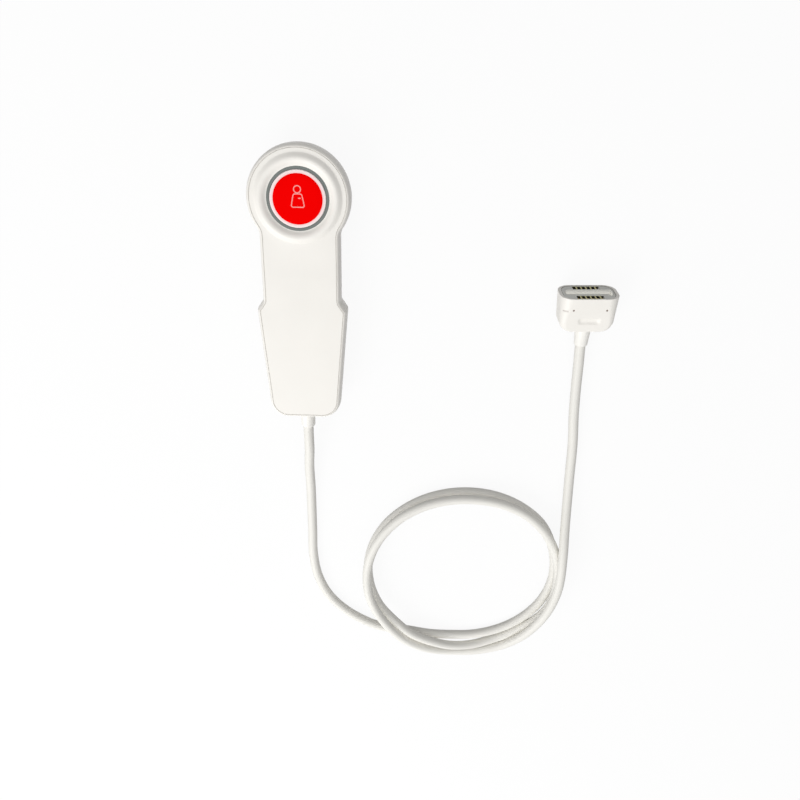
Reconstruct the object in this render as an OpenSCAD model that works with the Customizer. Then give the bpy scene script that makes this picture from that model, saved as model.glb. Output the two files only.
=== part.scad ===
/* [Handset] */
// Length of the handset from the head to the cord end
handset_l = 145.5; // [138:0.5:156]
// Thickness from the flat back to the front face
handset_t = 22; // [21.5:0.5:25]
// Diameter of the round head
head_d = 52; // [50:0.5:56]
// Width of the neck below the head
neck_w = 40.8; // [38:0.2:43]
// Width across the shoulders of the grip
shoulder_w = 47.6; // [46:0.2:50]
// Width of the grip where its sides meet the lower end
tail_w = 37.6; // [36:0.2:40]
// Length of the grip from the lower end to its shoulders
grip_l = 62.4; // [56:0.2:66]
// Length of the sloped step from the neck to the shoulders
step_l = 4.9; // [3.5:0.1:7]
// Radius of the fillet between the head and the neck
neck_fillet_r = 8; // [4:0.5:12]
// Radius of the two lower corners
tail_corner_r = 10.5; // [8:0.5:12]
// Radius of the shoulder corners
shoulder_r = 2.6; // [1.5:0.1:4]
// Wall thickness of the two shells
wall = 2.2; // [1.8:0.1:2.6]
// Height of the joint between the shells above the flat back
joint_z = 12; // [11.5:0.1:12.5]
// How far the front edge is rounded inwards
edge_in = 2; // [1:0.1:2.6]
// How far down the front edge rounding reaches
edge_drop = 2.6; // [1.5:0.1:3]
// How far the back is drawn in from the widest outline
back_in = 5.4; // [3:0.1:6]

/* [Guard ring] */
// Radius at the crest of the raised guard ring
guard_r = 19.1; // [18.8:0.1:19.6]
// Height of the guard ring above the front face
guard_h = 2.2; // [1:0.1:3]
// Width of the guard ring at its foot
guard_w = 6.2; // [4.6:0.1:6.4]

/* [Call button] */
// Diameter of the red label disc
label_d = 24.5; // [20:0.1:24.8]
// Thickness of the label disc
label_t = 0.4; // [0.2:0.1:0.8]
// Diameter of the button cap
cap_d = 27.4; // [26.6:0.1:27.6]
// Height of the cap above the front face at rest
cap_proud = 0.5; // [0.2:0.1:1]
// Travel of the button
travel = 1.2; // [0.6:0.1:1.4]
// Outer diameter of the grey bezel ring
bezel_d = 31; // [30.4:0.1:31.6]
// Thickness of the bezel ring
bezel_t = 2.8; // [2.6:0.1:3.2]
// Wire diameter of the return spring
spring_wire = 0.8; // [0.6:0.1:1]
// Turns of the return spring
spring_turns = 5; // [4:1:6]

/* [Board] */
// Thickness of the circuit board
board_t = 1.6; // [1:0.1:2]
// Width of the board's tongue in the neck
board_w = 29; // [27.6:0.2:31]
// Side of the square push switch
switch_w = 12; // [10:0.2:12.4]
// Diameter of the switch plunger
plunger_d = 6.8; // [5:0.1:7.4]

/* [Cord] */
// Diameter of the cord jacket
cord_d = 5.8; // [5:0.1:5.8]
// Outer diameter of the strain relief sleeve on the handset
relief_d = 8; // [7.6:0.1:9]
// Length of the sleeve outside the handset
relief_l = 11; // [9:0.5:12]

/* [Plug] */
// Width of the plug face
plug_w = 31.4; // [31:0.2:36]
// Thickness of the plug at its face
plug_t = 19; // [18.4:0.2:21]
// Length of the plug body
plug_l = 21; // [20:0.5:24]
// Half the wedge angle of the plug body
plug_taper = 8; // [6:0.5:9]
// Contacts in each of the two rows
contact_count = 6; // [3:1:6]
// Spacing of the contacts
contact_pitch = 2.54; // [2.3:0.02:2.7]
// Distance from the plug's middle to each contact row
row_z = 6.1; // [5.6:0.1:6.3]
// Length of the sleeve behind the plug
plug_relief_l = 10.5; // [9:0.5:12]

/* [Hidden] */

$fn = 64;
ring_fn = 96;
over = 1;
fit_gap = 0.1;
slide_gap = 0.2;
soft_gap = 0.3;

// Outline of the handset seen from the front, as a function of how far it is drawn in
head_r = head_d / 2;
head_y = handset_l / 2 - head_r;
head_foot_y = head_y - head_r;
tail_y = -handset_l / 2;
shoulder_y = tail_y + grip_l;
step_y = shoulder_y + step_l;
inner_corner_r = 3;
least_r = 0.3;
head_steps = 18;
fillet_steps = 3;
shoulder_steps = 3;
tail_steps = 7;
fillet_x = neck_w / 2 + neck_fillet_r;
fillet_y = head_y - sqrt(pow(head_r + neck_fillet_r, 2) - pow(fillet_x, 2));
fillet_a = atan2(fillet_y - head_y, fillet_x);

function unit(v) = v / norm(v);
function dir(a) = [cos(a), sin(a)];
function right_of(u) = [u.y, -u.x];
function turn_of(a, b) = a.x * b.y - a.y * b.x;
// A line is a point and a direction, moved to its right by d.
function line(p, q, d) = let (u = unit(q - p)) [p + right_of(u) * d, u];
function meet(l, m) = l[0] + l[1] * (turn_of(m[0] - l[0], m[1]) / turn_of(l[1], m[1]));
// Arc that rounds the corner between two lines drawn in by d. The radius shrinks with d
// where the outline turns round a convex corner and grows with it in a hollow one.
function corner(l, m, r, d, steps) =
    let (start_a = atan2(l[1].y, l[1].x),
         turn = asin(turn_of(l[1], m[1])),
         bend = turn < 0 ? max(r - d, least_r) : -(r + d),
         start = meet(l, m) - l[1] * abs(bend * tan(turn / 2)),
         centre = start + right_of(l[1]) * bend)
    [for (i = [0:steps]) centre - right_of(dir(start_a + turn * i / steps)) * bend];

function half_outline(d) =
    let (neck_top = [neck_w / 2, head_y],
         step_top = [neck_w / 2, step_y],
         shoulder = [shoulder_w / 2, shoulder_y],
         tail = [tail_w / 2, tail_y],
         neck = line(neck_top, step_top, d),
         step = line(step_top, shoulder, d),
         side = line(shoulder, tail, d),
         end = line(tail, [0, tail_y], d))
    concat(
        [for (i = [0:head_steps])
            [0, head_y] + dir(90 + (fillet_a - 90) * i / head_steps) * (head_r - d)],
        [for (i = [1:fillet_steps])
            [fillet_x, fillet_y]
                + dir(180 + fillet_a * (1 - i / fillet_steps)) * (neck_fillet_r + d)],
        corner(neck, step, inner_corner_r, d, shoulder_steps),
        corner(step, side, shoulder_r, d, shoulder_steps),
        corner(side, end, tail_corner_r, d, tail_steps));

function outline(d) =
    let (h = half_outline(d), n = len(h))
    concat(h, [for (i = [1:n - 1]) [-h[n - i].x, h[n - i].y]]);

// How far the housing's side is drawn in at a height above the flat back
waist_drop = 6;
waist_z = handset_t - waist_drop;
back_edge_r = 0.8;
belly_power = 2.2;
function round_in(s) = 1 - sqrt(max(0, 1 - s * s));
function side_in(z) =
    z > handset_t - edge_drop ? edge_in * round_in((z - handset_t + edge_drop) / edge_drop) :
    z > waist_z ? 0 :
    back_in * pow((waist_z - z) / waist_z, belly_power)
        + (z < back_edge_r ? back_edge_r * round_in(1 - z / back_edge_r) : 0);

// Flat lid on a ring of n points, as a ladder between its two sides
function lid(n) =
    let (m = floor((n - 1) / 2))
    concat([[0, 1, n - 1]],
        [for (i = [1:1:m - 1]) [i, i + 1, n - i]],
        [for (i = [1:1:m - 1]) [i + 1, n - i - 1, n - i]],
        n % 2 == 0 ? [[m, m + 1, m + 2]] : []);

// One closed skin through rings of equal point count, with a lid at both ends
module skin(rings) {
    n = len(rings[0]);
    last = len(rings) - 1;
    polyhedron(
        points = [for (r = rings) each r],
        faces = concat(
            lid(n),
            [for (k = [0:last - 1]) for (i = [0:n - 1])
                [k * n + i, (k + 1) * n + i, k * n + (i + 1) % n]],
            [for (k = [0:last - 1]) for (i = [0:n - 1])
                [k * n + (i + 1) % n, (k + 1) * n + i, (k + 1) * n + (i + 1) % n]],
            [for (f = lid(n)) [last * n + f[2], last * n + f[1], last * n + f[0]]]),
        convexity = 8);
}
function ring_at(z, d) = [for (p = outline(d)) [p.x, p.y, z]];

module along_y(p) {
    translate(p) rotate([-90, 0, 0]) children();
}
module at_each(spots, z) {
    for (p = spots) translate([p.x, p.y, z]) children();
}

// Rim where the shells meet: a fine reveal outside and a groove for the gasket
reveal = 0.3;
gasket_w = 0.6;
gasket_h = 1;
gasket_lip = 0.4;
rim_in = side_in(joint_z) + reveal;
gasket_in = rim_in + gasket_lip;
gasket_out = gasket_in + gasket_w;
rim_out = side_in(joint_z) + wall;
ceiling_t = 2.6;
ceiling_z = handset_t - ceiling_t;
ceiling_h = ceiling_t - over;
inner_round = 1;
edge_steps = 5;

// Seat of the button in the front shell
bezel_r = bezel_d / 2;
cap_r = cap_d / 2;
bezel_in_r = cap_r + slide_gap;
ledge_z = handset_t - bezel_t;
flange_lip = 0.5;
flange_r = bezel_in_r + flange_lip;
well_r = flange_r + slide_gap;
skirt_wall = 2;
skirt_r = well_r + skirt_wall;

// Board and the pillars that carry it
board_drop = 0.5;
board_lip = 0.4;
board_l = 40;
board_round = 2;
board_top = joint_z - board_drop;
board_z = board_top - board_t;
board_head_r = skirt_r + board_lip;
board_end_y = head_foot_y - board_l;
pillar_r = 2.6;
pillar_lip = 0.8;
pillar_from_head = 12;
pillar_x = board_w / 2 - pillar_r - pillar_lip;
pillar_spots = [for (s = [-1, 1])
    for (y = [head_foot_y - pillar_from_head, board_end_y + pillar_r + pillar_lip])
        [s * pillar_x, y]];
board_screw_r = 0.9;
board_screw_head_r = 1.9;
board_screw_head_h = 1.4;
board_screw_l = 6;

// Screws that hold the two shells together
screw_r = 1.4;
screw_head_r = 2.7;
screw_head_h = 2.2;
screw_recess = 5;
screw_reach = 6;
screw_floor = 1.8;
boss_r = 2.9;
recess_r = screw_head_r + soft_gap;
recess_wall = 1.2;
tower_r = recess_r + recess_wall;
head_screw_x = board_w / 2 - pillar_lip - boss_r - soft_gap;
head_screw_rise = 1.4;
tail_screw_x = tail_w / 4 + recess_wall;
tail_screw_rise = 22.5;
screw_spots = [for (s = [-1, 1])
    for (p = [[head_screw_x, head_foot_y + head_screw_rise],
              [tail_screw_x, tail_y + tail_screw_rise]])
        [s * p.x, p.y]];

// Cord exit, centred on the joint, and the clamp behind it
cord_r = cord_d / 2;
relief_r = relief_d / 2;
flange_w = 1.6;
flange_rise = 1.6;
flange_y = tail_y + rim_out + wall;
cheek_lip = 1;
cheek_z = joint_z - relief_r - cheek_lip;
cheek_y = tail_y + (gasket_out + rim_out) / 2;
bulkhead_margin = 4;
bulkhead_w = relief_d + 2 * bulkhead_margin;
bulkhead_y = flange_y + flange_w;
bulkhead_t = 1.6;
clamp_from_end = 14.5;
clamp_y = tail_y + clamp_from_end;
clamp_l = 5;
clamp_h = 3.4;
clamp_bite = 0.8;
clamp_x = 7.5;
clamp_ear = 2.5;
clamp_w = 2 * (clamp_x + clamp_ear);
clamp_top = joint_z - cord_r + clamp_bite;
clamp_screw_r = 1.1;
clamp_screw_head_r = 2;
clamp_screw_head_h = 1.4;
clamp_screw_l = 7;
jacket_reach = 8;
cradle_wall = 1;
tail_end_y = clamp_y + jacket_reach;
mouth_y = tail_y - relief_l;

module relief_space() {
    along_y([0, tail_y - over, joint_z]) cylinder(r = relief_r, h = flange_y - tail_y + over);
}
module cord_space() {
    along_y([0, bulkhead_y - over, joint_z])
        cylinder(r = cord_r + soft_gap, h = bulkhead_t + 2 * over);
}

rib_h = 2.4;
rib_w = 1.2;
rib_from_wall = 5;
rib_x = neck_w / 2 - wall - rib_from_wall;
rib_end_y = head_foot_y + head_screw_rise - boss_r;
module neck_ribs(z, h) {
    for (s = [-1, 1]) translate([s * rib_x - rib_w / 2, shoulder_y, z])
        cube([rib_w, rib_end_y - shoulder_y, h]);
}

// Guard ring section, as shares of its width and height
guard_shares = [[0, 0], [0.06, 0.16], [0.14, 0.42], [0.22, 0.68], [0.32, 0.88], [0.42, 0.98],
    [0.5, 1], [0.58, 0.98], [0.68, 0.9], [0.78, 0.72], [0.87, 0.44], [0.94, 0.18], [1, 0]];
guard_foot_r = guard_r - guard_w / 2;
module guard_ring() {
    translate([0, head_y, handset_t]) rotate_extrude($fn = ring_fn) polygon(concat(
        [[guard_foot_r, -over]],
        [for (p = guard_shares) [guard_foot_r + p.x * guard_w, p.y * guard_h]],
        [[guard_foot_r + guard_w, -over]]));
}

module front_skin() {
    skin(concat(
        [for (i = [0:edge_steps])
            let (z = handset_t - edge_drop * round_in(i / edge_steps)) ring_at(z, side_in(z))],
        [for (z = [handset_t - edge_drop, waist_z, joint_z + reveal]) ring_at(z, side_in(z))],
        [ring_at(joint_z, rim_in),
         ring_at(joint_z, gasket_in),
         ring_at(joint_z + gasket_h / 2, gasket_in),
         ring_at(joint_z + gasket_h / 2, gasket_out),
         ring_at(joint_z, gasket_out),
         ring_at(joint_z, rim_out),
         ring_at(waist_z, wall),
         ring_at(ceiling_z - inner_round, wall),
         ring_at(ceiling_z, wall + inner_round)]));
}

module front_shell() {
    hang_z = ceiling_z + ceiling_h / 2;
    color([0.97, 0.96, 0.93]) difference() {
        union() {
            front_skin();
            guard_ring();
            neck_ribs(ceiling_z - rib_h, hang_z - ceiling_z + rib_h);
            translate([0, head_y, board_top]) cylinder(r = skirt_r, h = hang_z - board_top);
            at_each(screw_spots, joint_z) cylinder(r = boss_r, h = hang_z - joint_z);
            at_each(pillar_spots, board_top) cylinder(r = pillar_r, h = hang_z - board_top);
            for (s = [-1, 1]) translate([s * clamp_x, clamp_y, clamp_top])
                cylinder(r = pillar_r, h = hang_z - clamp_top);
            translate([-cord_r - cradle_wall, clamp_y - clamp_l / 2, joint_z])
                cube([cord_d + 2 * cradle_wall, clamp_l, hang_z - joint_z]);
            translate([-bulkhead_w / 2, cheek_y, joint_z])
                cube([bulkhead_w, flange_y - cheek_y, hang_z - joint_z]);
            translate([-bulkhead_w / 2, bulkhead_y, joint_z])
                cube([bulkhead_w, bulkhead_t, hang_z - joint_z]);
        }
        translate([0, head_y, board_top - over]) cylinder(r = well_r, h = handset_t);
        translate([0, head_y, ledge_z]) cylinder(r = bezel_r, h = bezel_t + guard_h + over);
        at_each(screw_spots, joint_z - over) cylinder(r = screw_r, h = screw_reach + 2 * over);
        at_each(pillar_spots, board_top - over)
            cylinder(r = board_screw_r, h = board_screw_l - board_t + 2 * over);
        for (s = [-1, 1]) translate([s * clamp_x, clamp_y, clamp_top - over])
            cylinder(r = clamp_screw_r, h = clamp_screw_l - clamp_h + 2 * over);
        relief_space();
        cord_space();
        along_y([0, clamp_y - clamp_l, joint_z]) cylinder(r = cord_r, h = 2 * clamp_l);
    }
}

// Heights of the rings below the joint, as shares of the joint's height
belly_shares = [3 / 4, 1 / 2, 1 / 3, 1 / 6];
module rear_skin() {
    floor_in = side_in(wall) + wall;
    round_z = wall + inner_round;
    skin(concat(
        [ring_at(wall, floor_in + inner_round)],
        [for (z = [round_z, joint_z / 2, joint_z * 3 / 4]) ring_at(z, side_in(z) + wall)],
        [ring_at(joint_z, rim_out),
         ring_at(joint_z, gasket_out),
         ring_at(joint_z - gasket_h / 2, gasket_out),
         ring_at(joint_z - gasket_h / 2, gasket_in),
         ring_at(joint_z, gasket_in),
         ring_at(joint_z, rim_in),
         ring_at(joint_z - reveal, side_in(joint_z - reveal))],
        [for (s = belly_shares) ring_at(joint_z * s, side_in(joint_z * s))],
        [for (z = [back_edge_r, back_edge_r / 4, 0]) ring_at(z, side_in(z))]));
}

module rear_shell() {
    stand_z = wall / 2;
    color([0.96, 0.95, 0.92]) difference() {
        union() {
            rear_skin();
            neck_ribs(stand_z, wall + rib_h - stand_z);
            at_each(screw_spots, stand_z) cylinder(r = boss_r, h = joint_z - stand_z);
            at_each(screw_spots, stand_z)
                cylinder(r = tower_r, h = screw_recess + screw_floor - stand_z);
            translate([-bulkhead_w / 2, cheek_y, cheek_z])
                cube([bulkhead_w, flange_y - cheek_y, joint_z - cheek_z]);
            translate([-bulkhead_w / 2, bulkhead_y, stand_z])
                cube([bulkhead_w, bulkhead_t, joint_z - stand_z]);
        }
        at_each(screw_spots, -over) cylinder(r = recess_r, h = screw_recess + over);
        at_each(screw_spots, -over) cylinder(r = screw_r + fit_gap, h = joint_z + 2 * over);
        relief_space();
        cord_space();
    }
}

module shell_gasket() {
    color([0.55, 0.56, 0.56]) difference() {
        translate([0, 0, joint_z - gasket_h / 2]) linear_extrude(gasket_h) difference() {
            polygon(outline(gasket_in));
            polygon(outline(gasket_out));
        }
        relief_space();
    }
}

// Pan head screw standing on its seat, with a cross drive. The seat is at height 0.
module screw(r, head_r, head_h, l) {
    slot_l = head_r * 1.4;
    slot_w = r / 2;
    difference() {
        union() {
            translate([0, 0, -head_h]) cylinder(r = head_r, h = head_h);
            translate([0, 0, -head_h / 2]) cylinder(r = r, h = l + head_h / 2);
        }
        for (a = [0, 90]) rotate(a) translate([-slot_l / 2, -slot_w / 2, -head_h - over])
            cube([slot_l, slot_w, head_h / 2 + over]);
    }
}

module shell_screws() {
    color([0.72, 0.73, 0.75]) at_each(screw_spots, screw_recess)
        screw(screw_r, screw_head_r, screw_head_h, joint_z - screw_recess + screw_reach);
}

bezel_edge = 0.35;
module bezel_ring() {
    color([0.5, 0.53, 0.52]) translate([0, head_y, ledge_z]) rotate_extrude($fn = ring_fn)
        polygon([[bezel_in_r, 0], [bezel_r, 0], [bezel_r, bezel_t - bezel_edge],
            [bezel_r - bezel_edge, bezel_t], [bezel_in_r + bezel_edge, bezel_t],
            [bezel_in_r, bezel_t - bezel_edge]]);
}

// Push switch under the button
switch_h = 3.6;
switch_collar_h = 0.4;
switch_collar_w = 1;
switch_floor = 0.3;
plunger_r = plunger_d / 2;
plunger_spare = 0.7;
plunger_lift = 0.4;
plunger_nose_h = 0.6;
plunger_nose_in = 0.5;
plunger_top = board_top + switch_h + travel + plunger_spare;
plunger_z = board_top + travel + plunger_lift;

module switch_base() {
    color([0.14, 0.14, 0.15]) translate([0, head_y, board_top]) difference() {
        union() {
            translate([-switch_w / 2, -switch_w / 2, 0])
                cube([switch_w, switch_w, switch_h - switch_collar_h]);
            cylinder(r = plunger_r + switch_collar_w, h = switch_h);
        }
        translate([0, 0, switch_floor]) cylinder(r = plunger_r + fit_gap / 2, h = switch_h);
    }
}

module switch_plunger() {
    color([0.86, 0.85, 0.8]) translate([0, head_y, plunger_z]) {
        cylinder(r = plunger_r, h = plunger_top - plunger_z - plunger_nose_h);
        cylinder(r = plunger_r - plunger_nose_in, h = plunger_top - plunger_z);
    }
}

// Button cap: a cup with a flange that holds it under the bezel, a centre post and webs
flange_top = ledge_z - fit_gap;
flange_h = 1.3;
flange_z = flange_top - flange_h;
cap_top = handset_t + cap_proud;
cap_roof = 1.8;
cap_wall = 1.5;
cap_bore_r = cap_r - cap_wall;
roof_z = cap_top - cap_roof;
post_r = 2.6;
web_w = 1;
web_h = 1;
spring_r = switch_w / sqrt(2) + spring_wire + soft_gap;
web_l = spring_r - spring_wire - fit_gap;

module button_cap() {
    color([0.96, 0.9, 0.89]) translate([0, head_y, 0]) {
        difference() {
            union() {
                translate([0, 0, flange_z]) cylinder(r = flange_r, h = flange_h);
                translate([0, 0, flange_z]) rotate_extrude($fn = ring_fn)
                    polygon([[0, 0], [cap_r, 0], [cap_r, cap_top - label_t - flange_z],
                        [cap_r - label_t, cap_top - flange_z], [0, cap_top - flange_z]]);
            }
            translate([0, 0, cap_top - label_t])
                cylinder(r = label_d / 2, h = label_t + over, $fn = ring_fn);
            translate([0, 0, flange_z - over]) cylinder(r = cap_bore_r, h = roof_z - flange_z + over);
        }
        translate([0, 0, plunger_top]) cylinder(r = post_r, h = roof_z - plunger_top + web_h / 2);
        for (a = [0:90:270]) rotate(a) translate([0, -web_w / 2, roof_z - web_h])
            cube([web_l, web_w, web_h * 1.5]);
    }
}

module button_label() {
    color([0.98, 0.01, 0.01]) translate([0, head_y, cap_top - label_t])
        cylinder(r = label_d / 2, h = label_t, $fn = ring_fn);
}

// Tube swept along a path, with one ring square to the path at each point
function way(path, i, first, last) =
    i == 0 ? first : i == len(path) - 1 ? last : unit(path[i + 1] - path[i - 1]);
function tube(path, r, sides, first, last) =
    [for (i = [0:len(path) - 1])
        let (w = way(path, i, first, last), s = unit(cross(w, [0, 0, 1])), u = cross(s, w))
        [for (k = [0:sides - 1])
            path[i] + (s * cos(360 * k / sides) + u * sin(360 * k / sides)) * r]];

spring_rings = 12;
spring_sides = 6;
spring_rise = roof_z - board_top - spring_wire;
echo(least_gap_in_spring = spring_rise / spring_turns - spring_wire);
module return_spring() {
    n = spring_turns * spring_rings;
    path = [for (i = [0:n]) let (a = 360 * i / spring_rings)
        [spring_r * cos(a), head_y + spring_r * sin(a),
            board_top + spring_wire / 2 + spring_rise * i / n]];
    color([0.7, 0.71, 0.73])
        skin(tube(path, spring_wire / 2, spring_sides, [0, 1, 0], [0, 1, 0]));
}

module board_shape() {
    tongue_y = board_end_y + board_round;
    difference() {
        union() {
            translate([0, head_y]) circle(r = board_head_r);
            translate([-board_w / 2 + board_round, board_end_y])
                square([board_w - 2 * board_round, head_y - board_end_y]);
            translate([-board_w / 2, tongue_y])
                square([board_w, head_y - board_head_r / 2 - tongue_y]);
            for (s = [-1, 1]) translate([s * (board_w / 2 - board_round), tongue_y])
                circle(r = board_round);
        }
        for (p = screw_spots) translate(p) circle(r = boss_r + soft_gap);
        for (p = pillar_spots) translate(p) circle(r = board_screw_r + fit_gap);
    }
}

module circuit_board() {
    color([0.1, 0.42, 0.22]) translate([0, 0, board_z]) linear_extrude(board_t) board_shape();
}

module board_screws() {
    color([0.75, 0.76, 0.78]) at_each(pillar_spots, board_z)
        screw(board_screw_r, board_screw_head_r, board_screw_head_h, board_screw_l);
}

// Driver chip with seven legs a side, and a column of small parts on each side of it
chip_w = 7.5;
chip_l = 10;
chip_h = 1.8;
chip_lift = 0.1;
chip_y = (pillar_spots[0].y + pillar_spots[1].y) / 2;
leg_pitch = 1.27;
leg_w = 0.42;
leg_l = 1.4;
leg_h = 0.9;
part_w = 1.25;
part_l = 2;
part_h = 0.6;
part_pitch = 4;
module board_chips() {
    color([0.12, 0.12, 0.13]) translate([0, chip_y, board_top]) {
        translate([-chip_w / 2, -chip_l / 2, chip_lift]) cube([chip_w, chip_l, chip_h]);
        for (i = [-3:3]) translate([-chip_w / 2 - leg_l, i * leg_pitch - leg_w / 2, 0])
            cube([chip_w + 2 * leg_l, leg_w, leg_h]);
        for (s = [-1, 1]) for (i = [-1:1])
            translate([s * (chip_w / 2 + leg_l + 2 * part_w) - part_w / 2,
                i * part_pitch - part_l / 2, 0])
                cube([part_w, part_l, part_h]);
    }
}

led_w = 2.8;
led_l = 1.4;
led_h = 0.9;
led_r = (well_r + spring_r + spring_wire) / 2;
module leds() {
    color([0.98, 0.95, 0.8]) for (a = [45:90:315])
        translate([0, head_y, board_top]) rotate(a) translate([led_r - led_l / 2, -led_w / 2, 0])
            cube([led_l, led_w, led_h]);
}

// Header at the board's lower end, the plug that sits in it and its leads
lead_count = 6;
lead_gap = 2;
lead_r = 0.6;
header_margin = 1.5;
header_w = lead_count * lead_gap + 2 * header_margin;
header_l = 6;
header_h = 4.8;
header_wall = 0.8;
header_y = board_end_y + header_wall;
header_floor_y = header_y + header_l - header_wall;
lead_z = board_top + header_h / 2;
lead_plug_l = 8;
lead_plug_y = header_floor_y - fit_gap - lead_plug_l;
thumb_l = 2;
module wire_header() {
    color([0.93, 0.9, 0.82]) difference() {
        translate([-header_w / 2, header_y, board_top]) cube([header_w, header_l, header_h]);
        translate([-header_w / 2 + header_wall, header_y - over, board_top + header_wall])
            cube([header_w - 2 * header_wall, header_floor_y - header_y + over,
                header_h - 2 * header_wall]);
    }
}

module lead_plug() {
    inset = header_wall + fit_gap;
    color([0.95, 0.94, 0.9]) difference() {
        union() {
            translate([-header_w / 2 + inset, lead_plug_y, board_top + inset])
                cube([header_w - 2 * inset, lead_plug_l, header_h - 2 * inset]);
            translate([-header_w / 4, lead_plug_y, lead_z])
                cube([header_w / 2, thumb_l, header_h / 2]);
        }
        for (i = [0:lead_count - 1])
            along_y([(i - (lead_count - 1) / 2) * lead_gap, lead_plug_y - over, lead_z])
                cylinder(r = lead_r, h = lead_plug_l / 2 + over);
    }
}

lead_colours = ["brown", "black", "white", "green", "yellow", "red"];
lead_angles = [180, 120, 240, 60, 300, 0];
lead_steps = 8;
lead_ring_r = cord_r * 0.55;
lead_bed = 0.5;
lead_start_y = tail_end_y - lead_bed;
lead_end_y = lead_plug_y + lead_plug_l / 2;
module inner_leads() {
    for (i = [0:lead_count - 1]) {
        start = [lead_ring_r * cos(lead_angles[i]), lead_start_y,
            joint_z + lead_ring_r * sin(lead_angles[i])];
        end = [(i - (lead_count - 1) / 2) * lead_gap, lead_end_y, lead_z];
        fan_end_y = lead_plug_y - lead_r;
        fan = [for (k = [0:lead_steps]) let (t = k / lead_steps, e = t * t * (3 - 2 * t))
            [start.x + (end.x - start.x) * e, tail_end_y + (fan_end_y - tail_end_y) * t,
                start.z + (end.z - start.z) * e]];
        color(lead_colours[i])
            skin(tube(concat([start], fan, [end]), lead_r, 6, [0, 1, 0], [0, 1, 0]));
    }
}

module jacket_tail() {
    color([0.95, 0.94, 0.91]) difference() {
        along_y([0, tail_y, joint_z]) cylinder(r = cord_r, h = tail_end_y - tail_y);
        for (a = lead_angles)
            along_y([lead_ring_r * cos(a), lead_start_y, joint_z + lead_ring_r * sin(a)])
                cylinder(r = lead_r, h = lead_bed + over);
    }
}

module cord_clamp() {
    color([0.3, 0.31, 0.32]) difference() {
        translate([-clamp_w / 2, clamp_y - clamp_l / 2, clamp_top - clamp_h])
            cube([clamp_w, clamp_l, clamp_h]);
        along_y([0, clamp_y - clamp_l, joint_z]) cylinder(r = cord_r, h = 2 * clamp_l);
        for (s = [-1, 1]) translate([s * clamp_x, clamp_y, 0])
            cylinder(r = clamp_screw_r + fit_gap, h = handset_t);
    }
}

module clamp_screws() {
    color([0.75, 0.76, 0.78]) for (s = [-1, 1])
        translate([s * clamp_x, clamp_y, clamp_top - clamp_h])
            screw(clamp_screw_r, clamp_screw_head_r, clamp_screw_head_h, clamp_screw_l);
}

relief_edge = 0.9;
relief_slope = 1.4;
module handset_relief() {
    inside = flange_y - mouth_y;
    color([0.94, 0.93, 0.9]) along_y([0, mouth_y, joint_z]) rotate_extrude() polygon([
        [cord_r, 0], [relief_r - relief_edge, 0], [relief_r, relief_slope],
        [relief_r, inside], [relief_r + flange_rise, inside],
        [relief_r + flange_rise, inside + flange_w], [cord_r, inside + flange_w]]);
}

// Plug: its face looks along +Y and the wedge lies flat on its underside
plug_turn = 1.6;
plug_x = 151.7;
plug_y = 0.4;
plug_face = [plug_x, plug_y, plug_t / 2 * cos(plug_taper)];
plug_way = [-sin(plug_turn) * cos(plug_taper), cos(plug_turn) * cos(plug_taper), sin(plug_taper)];
plug_mouth = plug_face - plug_way * (plug_l + plug_relief_l);
module at_plug() {
    translate(plug_face) rotate([0, 0, plug_turn]) rotate([plug_taper, 0, 0]) children();
}

// Free cord: out of the handset, two loose loops that ride over each other, and up to
// the plug. Heights are of the cord's underside above the floor.
loop_centre = [97, -193];
loop_start = -125;
loop_end = 715;
loop_step = 15;
loop_radii = [[-125, 61], [-105, 54.5], [-90, 52.5], [-60, 53], [-20, 57.5], [0, 59.5],
    [20, 61.5], [40, 63], [150, 63], [180, 62], [200, 60], [220, 57], [250, 56.5], [262, 58],
    [275, 60], [330, 62], [360, 61], [380, 61.5], [410, 63], [430, 62], [470, 62], [490, 63],
    [530, 63], [550, 63], [580, 64], [600, 65.5], [630, 68.5], [660, 69.5], [690, 69],
    [715, 67.5]];
loop_lifts = [[-125, 0], [180, 0], [215, 4.6], [235, 6.6], [256, 6.6], [292, 0], [310, 0],
    [345, 6.6], [535, 6.6], [555, 9.1], [585, 8.6], [602, 6.3], [628, 0], [715, 0]];
from_handset = [[0, -89, 9.1], [0, -97, 8.1], [-1, -112, 4.1], [-1, -128, 0.9],
    [-1, -144, 0], [-1, -162, 0], [-1, -180, 0], [2, -199, 0], [9, -214.5, 0],
    [18, -225, 0], [30, -234, 0], [44, -240.5, 0]];
to_plug = [[163.5, -177, 0], [162, -158, 0], [160, -138, 0], [158.5, -118, 0], [157, -96, 0],
    [155, -74, 0], [154, -56, 0.1], [153.4, -43, 0.9]];
function lifted(p) = [p.x, p.y, p.z + cord_r];
loop_path = [for (a = [loop_start:loop_step:loop_end]) let (r = lookup(a, loop_radii))
    lifted([loop_centre.x + r * cos(a), loop_centre.y + r * sin(a), lookup(a, loop_lifts)])];
cord_path = concat([[0, tail_y, joint_z], [0, mouth_y, joint_z]],
    [for (p = from_handset) lifted(p)], loop_path, [for (p = to_plug) lifted(p)], [plug_mouth]);

// Least gap between stretches of the cord that are at least 16 probes apart along it
probe_steps = 6;
probe_skip = 16;
probes = [for (i = [0:len(cord_path) - 2]) for (k = [0:probe_steps - 1])
    cord_path[i] + (cord_path[i + 1] - cord_path[i]) * k / probe_steps];
least_span = min([for (i = [0:len(probes) - 1 - probe_skip])
    min([for (j = [i + probe_skip:len(probes) - 1]) norm(probes[i] - probes[j])])]);
function path_length(path, i = 0) =
    i > len(path) - 2 ? 0 : norm(path[i + 1] - path[i]) + path_length(path, i + 1);
echo(least_gap_in_cord = least_span - cord_d, cord_length = path_length(cord_path));

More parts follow.
